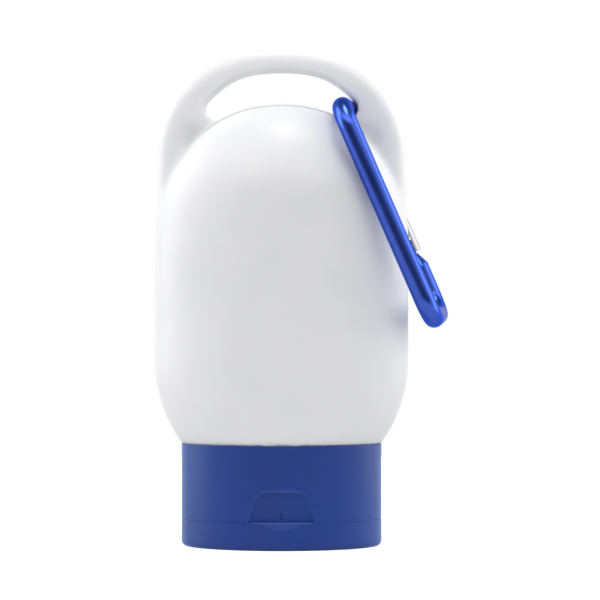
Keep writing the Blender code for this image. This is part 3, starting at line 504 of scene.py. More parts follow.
class FieldSurface:
    """Turns a field of distances, negative inside, into an even closed mesh.

    Args:
        distance: Returns the field at many points.
        low: Lowest corner of the space to look in.
        high: Highest corner.
        cell: Edge of the cells.
    """

    LEAST_SLOPE_SQUARED = 0.05

    def __init__(self, distance: Callable[[Array], Array], low: Point, high: Point,
                 cell: float) -> None:
        self.distance = distance
        self.low = np.array(low)
        self.cell = cell
        self.counts = np.ceil((np.array(high) - self.low) / cell).astype(int) + 1

    def build(self, rounds: int = 4) -> tuple[Array, Array]:
        """Return vertices and quads.

        Args:
            rounds: How often the vertices are evened out and put back on the surface.

        Returns:
            The vertices and the quads' vertex numbers.
        """
        points, faces = self._nets(self._sample())
        for _ in range(rounds):
            points = self._settle(self._relax(points, faces))
        return self._settle(points), faces

    def _sample(self) -> Array:
        """Return the field on the grid, one slice at a time."""
        axes = [self.low[a] + self.cell * np.arange(self.counts[a]) for a in range(3)]
        slices = []
        for x in axes[0]:
            y, z = np.meshgrid(axes[1], axes[2], indexing="ij")
            block = np.stack([np.full(y.size, x), y.ravel(), z.ravel()], axis=1)
            slices.append(self.distance(block).reshape(y.shape))
        return np.stack(slices)

    def _nets(self, values: Array) -> tuple[Array, Array]:
        """Place one vertex in each cell that the surface crosses, and join them by quads."""
        cells = np.array(values.shape) - 1
        total = np.zeros((*cells, 3))
        hits = np.zeros(cells)
        for start in np.ndindex(2, 2, 2):
            for axis in range(3):
                if start[axis]:
                    continue
                end = np.array(start)
                end[axis] = 1
                a = values[tuple(slice(s, s + n) for s, n in zip(start, cells))]
                b = values[tuple(slice(s, s + n) for s, n in zip(end, cells))]
                crossed = (a < 0) != (b < 0)
                share = np.where(crossed, a / np.where(crossed, a - b, 1.0), 0.0)
                place = np.array(start) + share[..., None] * (end - np.array(start))
                total += np.where(crossed[..., None], place, 0.0)
                hits += crossed
        active = hits > 0
        numbers = np.full(cells, -1)
        numbers[active] = np.arange(active.sum())
        where = np.argwhere(active)
        points = self.low + self.cell * (where + total[active] / hits[active][:, None])
        return points, self._quads(values, numbers)

    @staticmethod
    def _quads(values: Array, numbers: Array) -> Array:
        """Return a quad round each grid edge that the surface crosses."""
        faces = []
        for axis in range(3):
            across, along = [(1, 2), (2, 0), (0, 1)][axis]
            a = np.moveaxis(values, axis, 0)[:-1]
            b = np.moveaxis(values, axis, 0)[1:]
            flip = np.argwhere((a < 0) != (b < 0))
            index = np.empty_like(flip)
            index[:, [axis] + [other for other in range(3) if other != axis]] = flip
            inside_first = values[tuple(index.T)] < 0
            ring = []
            for du, dv in ((1, 1), (0, 1), (0, 0), (1, 0)):
                corner = index.copy()
                corner[:, across] -= du
                corner[:, along] -= dv
                ring.append(numbers[tuple(corner.T)])
            quads = np.stack(ring, axis=1)
            quads[~inside_first] = quads[~inside_first][:, ::-1]
            faces.append(quads)
        return np.concatenate(faces)

    @staticmethod
    def _relax(points: Array, faces: Array) -> Array:
        """Move each vertex half-way to the mean of its neighbours."""
        total = np.zeros_like(points)
        count = np.zeros(len(points))
        for step in range(4):
            start, end = faces[:, step], faces[:, (step + 1) % 4]
            for here, there in ((start, end), (end, start)):
                for axis in range(3):
                    total[:, axis] += np.bincount(here, points[there, axis], len(points))
                count += np.bincount(here, minlength=len(points))
        return 0.5 * points + 0.5 * total / count[:, None]

    def _settle(self, points: Array, steps: int = 3) -> Array:
        """Put vertices on the surface by following the field's slope."""
        reach = self.cell / 20
        longest = self.cell / 3
        for _ in range(steps):
            value = self.distance(points)
            slope = np.empty_like(points)
            for axis in range(3):
                offset = np.zeros(3)
                offset[axis] = reach
                ahead = self.distance(points + offset)
                behind = self.distance(points - offset)
                slope[:, axis] = (ahead - behind) / (2 * reach)
            size = np.maximum((slope ** 2).sum(axis=1), self.LEAST_SLOPE_SQUARED)
            move = value[:, None] * slope / size[:, None]
            length = np.linalg.norm(move, axis=1, keepdims=True)
            points = points - move * (longest / np.maximum(length, longest))
        return points


def dome_distance(x: Array, rise: Array, half_width: float, height: float,
                  power: float) -> Array:
    """Return the distance to a superellipse's upper half.

    Args:
        x: Places across.
        rise: Heights above the superellipse's middle.
        half_width: Its half width.
        height: Its height above the middle.
        power: Its power: 2 for an ellipse, more for a squarer form.

    Returns:
        The distance, negative inside.
    """
    least_across, least_up = 1e-6, 1e-7
    across = np.maximum(np.abs(x), least_across) / half_width
    up = np.maximum(rise, least_up) / height
    form = (across ** power + up ** power) ** (1 / power)
    slope_x = across ** (power - 1) / half_width
    slope_z = up ** (power - 1) / height
    return (form - 1) / (np.sqrt(slope_x ** 2 + slope_z ** 2) / form ** (power - 1))


# Bottle


@dataclass
class Bottle:
    """One blow moulding: belly, domed crown, carrying handle with a window, and neck."""

    shoulder_z: float = 0.02043
    flare_height: float = 0.01687
    flare_radius: float = 0.0273
    flare_limit: float = 0.9
    belly_height: float = 0.0197
    dome_height: float = 0.03085
    crown_height: float = 0.0185
    crown_limit: float = 0.9995
    crown_margin: float = 0.00001
    half_width: float = 0.0253
    half_depth: float = 0.0126
    dome_power: float = 2.2
    handle_half_width: float = 0.0249
    handle_rise: float = 0.0237
    handle_above_crown: float = 0.01125
    handle_power: float = 2.33
    handle_half_thickness: float = 0.0024
    handle_edge: float = 0.0028
    handle_leg: float = 0.0164
    band: float = 0.0034
    dip_depth: float = 0.0012
    dip_ramp: float = 0.0030
    dip_top_drop: float = 0.0022
    dip_fade: float = 0.0050
    blend: float = 0.0011
    window_below_top: float = 0.0038
    window_ridge: float = 0.00015
    window_ridge_ease: float = 0.0004
    window_flat: float = 0.0002
    window_flat_ease: float = 0.0024
    window_edge: float = 0.0004
    pocket_radius: float = 0.00228
    pocket_half_span: float = 0.01295
    pocket_drop: float = 0.01198
    foot_edge: float = 0.0001
    neck_radius: float = 0.0092
    neck_wall: float = 0.0017
    neck_end_z: float = 0.00725
    neck_overlap: float = 0.0015
    bead_height: float = 0.00045
    bead_half_length: float = 0.0009
    bead_from_end: float = 0.0045
    cell: float = 0.00052
    grid_half: Pair = (0.0265, 0.0136)
    grid_margin: float = 0.001
    slope_reach: float = 0.00002
    least_slope: float = 20.0
    sharp_degrees: float = 60.0
    finish: MilkyPolyethylene = field(default_factory=MilkyPolyethylene)

    def __post_init__(self) -> None:
        """Work out the heights that follow from the sizes."""
        self.belly_low = self.shoulder_z + self.flare_height
        self.belly_high = self.belly_low + self.belly_height
        self.crown_top = self.belly_high + self.dome_height
        self.handle_top = self.crown_top + self.handle_above_crown
        self.arch_start = self.handle_top - self.handle_rise
        self.pocket_z = self.handle_top - self.pocket_drop

    def build(self) -> bpy.types.Object:
        """Return the bottle's moulding, riding on the bottle body."""
        wide, deep = self.grid_half
        low = (-wide, -deep, self.neck_end_z - self.grid_margin)
        high = (wide, deep, self.handle_top + self.grid_margin)
        points, faces = FieldSurface(self.distance, low, high, self.cell).build()
        obj = add_mesh("bottle_moulding", points, faces.tolist(), self.finish.build(),
                       self.sharp_degrees)
        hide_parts("bottle")
        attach(obj, "bottle")
        return obj

    def distance(self, points: Array) -> Array:
        """Return the distance field of the whole moulding."""
        x, y, z = points.T
        body = smooth_min(self._belly(x, y, z), self._handle(x, y, z), self.blend)
        body = smooth_max(body, -self._window(x, z), self.window_edge)
        body = smooth_max(body, self.shoulder_z - z, self.foot_edge)
        return np.minimum(body, self._neck(x, y, z))

    def _belly_form(self, x: Array, y: Array, z: Array) -> Array:
        """Return a form that is zero on the belly and negative inside it."""
        flare = np.clip(self.belly_low - z, 0.0, self.flare_radius * self.flare_limit)
        flared = 1 - (flare / self.flare_radius) ** 2
        power = 2 / self.dome_power
        top = 1 - self._rise(z) ** self.dome_power
        wide = np.where(z < self.belly_low, flared, np.sign(top) * np.abs(top) ** power)
        start = self.crown_top - self.crown_height
        crown = np.clip((z - start) / self.crown_height, 0.0, self.crown_limit)
        held = 1 - self._rise(np.minimum(z, self.crown_top - self.crown_margin)) ** self.dome_power
        ratio = np.where(z < self.belly_low, flared, held ** power) / (1 - crown ** 2)
        return (x / self.half_width) ** 2 + ratio * (y / self.half_depth) ** 2 - wide

    def _rise(self, z: Array) -> Array:
        """Return how far up the dome a height is, from 0 at its start to 1 at the crown."""
        return np.maximum(z - self.belly_high, 0.0) / self.dome_height

    def _belly(self, x: Array, y: Array, z: Array) -> Array:
        """Return the distance to the belly, from its form and the form's slope."""
        reach = self.slope_reach
        value = self._belly_form(x, y, z)
        square = np.zeros_like(value)
        for dx, dy, dz in ((reach, 0, 0), (0, reach, 0), (0, 0, reach)):
            ahead = self._belly_form(x + dx, y + dy, z + dz)
            behind = self._belly_form(x - dx, y - dy, z - dz)
            square += ((ahead - behind) / (2 * reach)) ** 2
        return value / np.sqrt(np.maximum(square, self.least_slope ** 2))

    def _handle(self, x: Array, y: Array, z: Array) -> Array:
        """Return the distance to the handle and its shoulder webs."""
        outline = dome_distance(x, z - self.arch_start, self.handle_half_width,
                                self.handle_rise, self.handle_power)
        dip_top = self.pocket_z - self.dip_top_drop
        inward = smooth_step(self.band, self.band + self.dip_ramp, -outline)
        below = 1 - smooth_step(dip_top - self.dip_fade, dip_top, z)
        half = self.handle_half_thickness - self.dip_depth * inward * below
        plate = smooth_max(outline, np.abs(y) - half, self.handle_edge)
        foot = self.arch_start - self.handle_leg - z
        return smooth_max(plate, foot, self.handle_edge)

    def _window(self, x: Array, z: Array) -> Array:
        """Return the distance to the window's outline, in the plane."""
        crown = dome_distance(x, z - self.belly_high, self.half_width, self.dome_height,
                              self.dome_power)
        x = np.abs(x)
        top = self.handle_top - self.window_below_top
        drop = top - self.pocket_z
        pocket = self.pocket_radius
        arch = (self.pocket_half_span ** 2 + drop ** 2 - pocket ** 2) / (2 * (drop - pocket))
        arch_z = top - arch
        to_arch = np.hypot(x, z - arch_z) - arch
        side = Vector((self.pocket_half_span, self.pocket_z - arch_z)).normalized()
        past = x * side.y - (z - arch_z) * side.x
        to_pocket = np.hypot(x - self.pocket_half_span, z - self.pocket_z) - pocket
        level = smooth_max(to_arch, z - top + self.window_flat, self.window_flat_ease)
        opening = np.minimum(np.maximum(level, past), to_pocket)
        return smooth_max(opening, self.window_ridge - crown, self.window_ridge_ease)

    def _neck(self, x: Array, y: Array, z: Array) -> Array:
        """Return the distance to the neck, with its snap bead and bore."""
        radius = np.hypot(x, y)
        bead_z = self.neck_end_z + self.bead_from_end
        bead = 1 - smooth_step(0.0, self.bead_half_length, np.abs(z - bead_z))
        outside = radius - self.neck_radius - self.bead_height * bead
        tube = np.maximum(outside, self.neck_radius - self.neck_wall - radius)
        tube = np.maximum(tube, self.neck_end_z - z)
        return np.maximum(tube, z - self.shoulder_z - self.neck_overlap)


# Closure


@dataclass
class Closure:
    """Oval flip-top closure: base with thumb recess and nozzle, lid with plug, film hinge."""

    half_width: float = 0.01995
    half_depth: float = 0.0126
    lid_height: float = 0.0055
    base_height: float = 0.0149
    seam_half: float = 0.00001
    lid_set_back: float = -0.00002
    foot_radius: float = 0.0011
    foot_centre_radius: float = 0.0015
    wall: float = 0.0013
    lid_wall: float = 0.0017
    deck: float = 0.0012
    deck_gap: float = 0.00015
    low_edge: float = 0.00003
    top_edge: float = 0.00014
    lid_edge: float = 0.00009
    corner: float = 0.0001
    lid_floor_radius: float = 0.0005
    nozzle_bore: float = 0.00295
    nozzle_wall: float = 0.0009
    nozzle_reach: float = 0.0008
    plug_gap: float = 0.0002
    plug_insertion: float = 0.0008
    skirt_inner: float = 0.0095
    skirt_outer: float = 0.01055
    skirt_shortfall: float = 0.0030
    recess_foot_half: float = 0.0062
    recess_top_half: float = 0.0046
    recess_height: float = 0.0056
    recess_corner: float = 0.0016
    recess_foot_depth: float = 0.0013
    recess_top_depth: float = 0.0005
    recess_lip: float = 0.00090
    recess_share_inside: float = 0.9
    rim_height: float = 0.00013
    rim_half: float = 0.00034
    notch_half: float = 0.00022
    notch_ramp: float = 0.00004
    notch_height: float = 0.0016
    notch_depth: float = 0.00035
    catch_half: float = 0.0003
    catch_depth: float = 0.0004
    catch_height: float = 0.0004
    catch_root: float = 0.0006
    catch_roundness: float = 0.4
    pad_half: float = 0.0047
    pad_ramp: float = 0.00008
    pad_height: float = 0.0014
    pad_depth: float = 0.00032
    hinge_half: float = 0.0040
    hinge_film: float = 0.0003
    hinge_bend: float = 0.00035
    hinge_tab: float = 0.0009
    land_depth: float = 0.0005
    land_margin: float = 0.0006
    columns_round: int = 160
    column_clearance: float = 0.004
    front_half: float = 0.0078
    front_step: float = 0.00013
    middle_half: float = 0.0006
    middle_step: float = 0.00005
    lid_row_step: float = 0.00012
    dense_margin: float = 0.0006
    row_gap: float = 0.0004
    sharp_degrees: float = 42.0
    hinge_sharp_degrees: float = 30.0
    finish: BluePolypropylene = field(default_factory=BluePolypropylene)

    def __post_init__(self) -> None:
        """Work out the heights and the columns that follow from the sizes."""
        self.lid_top = self.lid_height - self.seam_half
        self.base_low = self.lid_height + self.seam_half
        self.base_top = self.lid_height + self.base_height
        self.deck_top = self.lid_height + self.deck_gap + self.deck
        self.angles = self._column_angles()
        self.material = self.finish.build()

    def build(self) -> list[bpy.types.Object]:
        """Return the closure's pieces."""
        base, lid, hinge = self._build_base(), self._build_lid(), self._build_hinge()
        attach(base, "bottle")
        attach(lid, "lid")
        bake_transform(hinge)
        for piece, node in ((base, "closure_base"), (lid, "flip_lid"), (hinge, "living_hinge")):
            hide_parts(node)
        return [base, lid, hinge]

    def _column_angles(self) -> Array:
        """Return the directions of the columns, closest together at the recess and the hinge."""
        around = np.linspace(0.0, math.tau, self.columns_round + 1)[:-1]
        fine = even_span(self.front_half, self.front_step)
        middle = even_span(self.middle_half, self.middle_step)
        front = np.concatenate([fine[np.abs(fine) > self.middle_half], middle])
        front_angles = -math.pi / 2 + np.arcsin(front / self.half_width)
        edges = np.array([-1.0, 1.0]) * (self.hinge_half + self.land_margin)
        ramp = 2 * self.corner
        back = np.concatenate([edge + np.linspace(-ramp, ramp, 9) for edge in edges])
        back_angles = math.pi / 2 - np.arcsin(back / self.half_width)
        at_front = np.abs(np.cos(around)) * self.half_width < self.front_half + self.corner
        kept = around[~(at_front & (np.sin(around) < 0))]
        clear_of_back = [np.min(np.abs(back_angles - angle)) > self.column_clearance
                         for angle in kept]
        joined = np.concatenate([kept[clear_of_back], front_angles % math.tau, back_angles])
        return np.sort(joined)

    def _oval_ring(self, inset: float, z: float) -> Array:
        """Return a ring of the oval, drawn in by a distance."""
        x = (self.half_width - inset) * np.cos(self.angles)
        y = (self.half_depth - inset) * np.sin(self.angles)
        return np.stack([x, y, np.full_like(x, z)], axis=1)

    def _round_ring(self, radius: float, z: float) -> Array:
        """Return a round ring with a point for each column."""
        x = self.half_width * np.cos(self.angles)
        y = self.half_depth * np.sin(self.angles)
        size = radius / np.hypot(x, y)
        return np.stack([x * size, y * size, np.full_like(x, z)], axis=1)

    def _round_rings(self, profile: Sequence[Pair]) -> list[Array]:
        """Return a round ring for each (radius, height)."""
        return [self._round_ring(radius, z) for radius, z in profile]

    def _edge_arc(self, inset: float, z: float, radius: float, start: float, end: float,
                  steps: int) -> list[Array]:
        """Return oval rings round an edge whose arc's centre is inset and at a height."""
        rings = []
        for step in range(steps + 1):
            angle = math.radians(start + (end - start) * step / steps)
            rings.append(self._oval_ring(inset - radius * math.cos(angle),
                                         z + radius * math.sin(angle)))
        return rings

    def _recess_distance(self, x: Array, z: Array) -> Array:
        """Return the distance to the recess's outline, seen from the front."""
        low = self.base_low
        high = low + self.recess_height
        lean = (self.recess_foot_half - self.recess_top_half) / self.recess_height
        side = (np.abs(x) - self.recess_foot_half + lean * (z - low)) / math.hypot(1, lean)
        across = np.maximum(side + self.recess_corner, 0.0)
        up = np.maximum(z - high + self.recess_corner, 0.0)
        inside = np.minimum(np.maximum(side, z - high) + self.recess_corner, 0.0)
        return np.hypot(across, up) + inside - self.recess_corner

    def _recessed(self, ring: Array, share: float = 1.0) -> Array:
        """Push a ring's front inwards where the thumb recess and the notch are."""
        x, y, z = ring.T
        up = np.clip((z - self.base_low) / self.recess_height, 0.0, 1.0)
        depth = self.recess_foot_depth + (self.recess_top_depth - self.recess_foot_depth) * up
        floor = smooth_max(y, -self.half_depth + depth, self.corner) - y
        away = self._recess_distance(x, z)
        lip = within(away, 0.0, self.recess_lip / 2)
        rim = smooth_step(self.rim_half, 0.0, np.abs(away - self.recess_lip / 3))
        notch = (within(np.abs(x), self.notch_half, self.notch_ramp)
                 * within(z, self.base_low + self.notch_height, self.corner))
        depth = lip * floor + notch * self.notch_depth - rim * self.rim_height
        push = np.where(y < 0, depth, 0.0)
        return np.stack([x, y + push * share, z], axis=1)

    def _landed(self, ring: Array) -> Array:
        """Flatten a ring's back where the film hinge lies."""
        x, y, z = ring.T
        half = self.hinge_half + self.land_margin
        reach = self.hinge_bend + self.hinge_tab + self.land_margin
        inside = (within(np.abs(x), half, self.corner)
                  * within(np.abs(z - self.lid_height), reach, self.corner))
        land = self.half_depth - self.land_depth
        cut = np.where(y > land, (y - land) * inside, 0.0)
        return np.stack([x, y - cut, z], axis=1)

    def _padded(self, ring: Array) -> Array:
        """Cut the thumb pad's slope into a ring's front."""
        x, y, z = ring.T
        low = self.lid_top - self.pad_height
        share = np.clip((z - low) / self.pad_height, 0.0, 1.0)
        plane = -self.half_depth + self.lid_set_back + self.pad_depth * share
        inside = within(np.abs(x), self.pad_half, self.pad_ramp)
        push = np.where((y < 0) & (z > low), np.maximum(plane - y, 0.0) * inside, 0.0)
        return np.stack([x, y + push, z], axis=1)

    def _build_base(self) -> bpy.types.Object:
        """Return the base as one closed skin."""
        bore, corner, seam = self.nozzle_bore, self.corner, self.base_low
        collar = bore + self.nozzle_wall
        mouth = seam - self.nozzle_reach
        ease = self.nozzle_wall / 3
        rings = self._round_rings([
            (bore + self.deck / 2, self.deck_top),
            (bore, self.deck_top - self.deck / 2),
            (bore, mouth + corner),
            (bore + corner, mouth),
            (collar - ease, mouth),
            (collar - ease * 0.3, mouth + ease * 0.3),
            (collar, mouth + ease),
            (collar, seam - corner),
            (collar + corner, seam),
        ])
        low, top = self.low_edge, self.top_edge
        wall = self._edge_arc(low, seam + low, low, -90, 0, 1)
        dense_top = seam + self.recess_height + self.dense_margin
        rows = np.concatenate([
            np.arange(seam + low + corner, dense_top, self.front_step),
            np.linspace(dense_top, self.base_top - top - self.row_gap, 12),
        ])
        wall += [self._oval_ring(0.0, z) for z in rows]
        wall += self._edge_arc(top, self.base_top - top, top, 0, 90, 8)
        rings += [self._landed(self._recessed(ring)) for ring in wall]
        rings.append(self._oval_ring(self.wall, self.base_top))
        rings += [self._recessed(self._oval_ring(self.wall, z), self.recess_share_inside)
                  for z in (self.deck_top + self.recess_height, self.deck_top)]
        skirt_top = self.base_top - self.skirt_shortfall
        rings += self._round_rings([
            (self.skirt_outer, self.deck_top),
            (self.skirt_outer, skirt_top),
            (self.skirt_inner, skirt_top),
            (self.skirt_inner, self.deck_top),
        ])
        faces = loft_faces(len(rings), len(self.angles), closed=True)
        return add_mesh("closure_base_shell", np.concatenate(rings), faces, self.material,
                        self.sharp_degrees)

    def _build_lid(self) -> bpy.types.Object:
        """Return the lid as one closed skin, from the foot's centre to the plug's tip."""
        back, edge, foot = self.lid_set_back, self.lid_edge, self.foot_radius
        gap = 2 * self.corner
        wall = self._edge_arc(back + foot, foot, foot, -90, 0, 10)
        pad_low = self.lid_top - self.pad_height - gap
        rows = np.concatenate([
            np.linspace(foot + gap, pad_low, 8),
            np.arange(pad_low + self.corner, self.lid_top - edge, self.lid_row_step),
        ])
        wall += [self._oval_ring(back, z) for z in rows]
        wall += self._edge_arc(back + edge, self.lid_top - edge, edge, 0, 90, 1)
        rings = [self._round_ring(self.foot_centre_radius, 0.0)]
        rings += [self._landed(self._padded(ring)) for ring in wall]
        inner, ease = back + self.lid_wall, self.lid_floor_radius
        rings.append(self._oval_ring(inner, self.lid_top))
        rings += [self._oval_ring(inner + ease * share, self.wall + ease * (1 - share))
                  for share in (0.0, 0.3, 1.0)]
        radius = self.nozzle_bore - self.plug_gap
        tip = self.base_low + self.plug_insertion
        rings += self._round_rings([
            (radius + gap, self.wall),
            (radius, self.wall + gap),
            (radius, self.base_low),
            (radius * 0.87, tip - 0.00015),
            (radius * 0.8, tip),
        ])
        columns = len(self.angles)
        faces = loft_faces(len(rings), columns)
        last = (len(rings) - 1) * columns
        centre = len(rings) * columns
        for column in range(columns):
            after = (column + 1) % columns
            faces.append((column, after, centre))
            faces.append((last + column, last + after, centre + 1))
        poles = np.array([(0.0, 0.0, 0.0), (0.0, 0.0, tip)])
        points, faces = self._with_catch(np.concatenate(rings + [poles]), faces)
        return add_mesh("flip_lid_shell", points, faces, self.material, self.sharp_degrees)

    def _with_catch(self, points: Array, faces: list[tuple[int, ...]]
                    ) -> tuple[Array, list[tuple[int, ...]]]:
        """Add the rounded catch that stands on the lid's front rim."""
        sides = 32
        half = self.catch_depth / 2
        middle = -self.half_depth + self.recess_foot_depth + half
        top = self.lid_top + self.catch_height
        rings = []
        for z, shrink in ((self.lid_top - self.catch_root, 0.0), (top - self.corner, 0.0),
                          (top, self.corner)):
            ring = []
            for corner in range(sides):
                angle = math.tau * corner / sides
                x, y = (math.copysign(abs(way) ** self.catch_roundness, way)
                        for way in (math.cos(angle), math.sin(angle)))
                ring.append((x * (self.catch_half - shrink), middle + y * (half - shrink), z))
            rings.append(np.array(ring))
        start = len(points)
        added = [tuple(start + number for number in face)
                 for face in loft_faces(len(rings), sides)]
        added.append(tuple(range(start, start + sides)))
        added.append(tuple(range(start + 2 * sides, start + 3 * sides)))
        return np.concatenate([points] + rings), faces + added

    def _build_hinge(self) -> bpy.types.Object:
        """Return the film hinge, folded behind the closed lid."""
        film = self.hinge_film
        land = self.half_depth - self.land_depth
        clear = land + self.corner
        centre = land + self.hinge_bend
        inner = self.hinge_bend
        outer = inner + film
        end = inner + self.hinge_tab
        steps = 20
        turn = [math.pi / 2 - math.pi * step / steps for step in range(steps + 1)]
        tab = [(clear, end), (clear + film * 0.6, end), (clear + film, end - self.corner)]
        outline = list(tab)
        outline += [(centre + outer * math.cos(a), outer * math.sin(a)) for a in turn]
        outline += [(y, -z) for y, z in reversed(tab)]
        outline.append((clear, -inner))
        outline += [(centre + inner * math.cos(a), inner * math.sin(a)) for a in reversed(turn)]
        outline.append((clear, inner))
        rings = [np.array([(x, y, self.lid_height + z) for y, z in outline])
                 for x in np.linspace(-self.hinge_half, self.hinge_half, 9)]
        count = len(outline)
        faces = loft_faces(len(rings), count)
        faces.append(tuple(range(count)))
        faces.append(tuple(range((len(rings) - 1) * count, len(rings) * count)))
        return add_mesh("film_hinge", np.concatenate(rings), faces, self.material,
                        self.hinge_sharp_degrees)


# Snap hook


class SweepInput(Enum):
    """Named inputs of the wire sweep's node tree."""

    RADIUS = "Wire Radius"
    SIDES = "Sides"


class CoilInput(Enum):
    """Named inputs of the coil spring's node tree."""

    RADIUS = "Wire Radius"
    MEAN = "Mean Radius"
    TURNS = "Turns"
    HEIGHT = "Height"
    POINTS = "Points per Turn"
    SIDES = "Sides"


NodeInputs = dict[Enum, tuple[str, float]]
FLOAT = "NodeSocketFloat"
INTEGER = "NodeSocketInt"


class PieceTree:
    """A geometry node tree with named inputs that makes one piece's mesh.

    Args:
        name: The tree's name.
        inputs: Socket type and value of each named input.
    """

    def __init__(self, name: str, inputs: NodeInputs) -> None:
        self.inputs = inputs
        tree = bpy.data.node_groups.new(name, "GeometryNodeTree")
        tree.interface.new_socket("Geometry", in_out="INPUT", socket_type="NodeSocketGeometry")
        for key, (kind, value) in inputs.items():
            socket = tree.interface.new_socket(key.value, in_out="INPUT", socket_type=kind)
            socket.default_value = value
        tree.interface.new_socket("Geometry", in_out="OUTPUT", socket_type="NodeSocketGeometry")
        self.graph = Graph(tree)
        self.start = self.graph.node("NodeGroupInput")

    def input(self, key: Enum) -> Wire:
        """Return the wire of one named input."""
        return Wire(self.graph, self.start.socket.node.outputs[key.value])

    def sweep(self, curve: Wire, sides: Wire, radius: Value,
              scale: Optional[Wire] = None) -> Wire:
        """Sweep a round profile along a curve, with closed ends.

        Args:
            curve: The curve to follow.
            sides: How many sides the profile has.
            radius: The profile's radius.
            scale: The profile's size along the curve, where it changes.

        Returns:
            The mesh.
        """
        profile = self.graph.node("GeometryNodeCurvePrimitiveCircle", None,
                                  {"Resolution": sides, "Radius": radius})
        inputs: dict[Union[str, int], Any] = {
            "Curve": curve, "Profile Curve": profile, "Fill Caps": True}
        if scale is not None:
            inputs["Scale"] = scale
        return self.graph.node("GeometryNodeCurveToMesh", None, inputs)

    def run(self, obj: bpy.types.Object, mesh: Wire, material: bpy.types.Material
            ) -> bmesh.types.BMesh:
        """End the tree, run it on an object and return the mesh that it makes."""
        graph = self.graph
        real = graph.node("GeometryNodeRealizeInstances", None, {"Geometry": mesh})
        dressed = graph.node("GeometryNodeSetMaterial", None,
                             {"Geometry": real, "Material": material})
        graph.node("NodeGroupOutput", None, {0: dressed})
        modifier = obj.modifiers.new(graph.tree.name, "NODES")
        modifier.node_group = graph.tree
        for item in graph.tree.interface.items_tree:
            for key, (_, value) in self.inputs.items():
                if item.in_out == "INPUT" and item.name == key.value:
                    modifier[item.identifier] = value
        bm = bmesh.new()
        bm.from_mesh(bake(obj))
        return bm


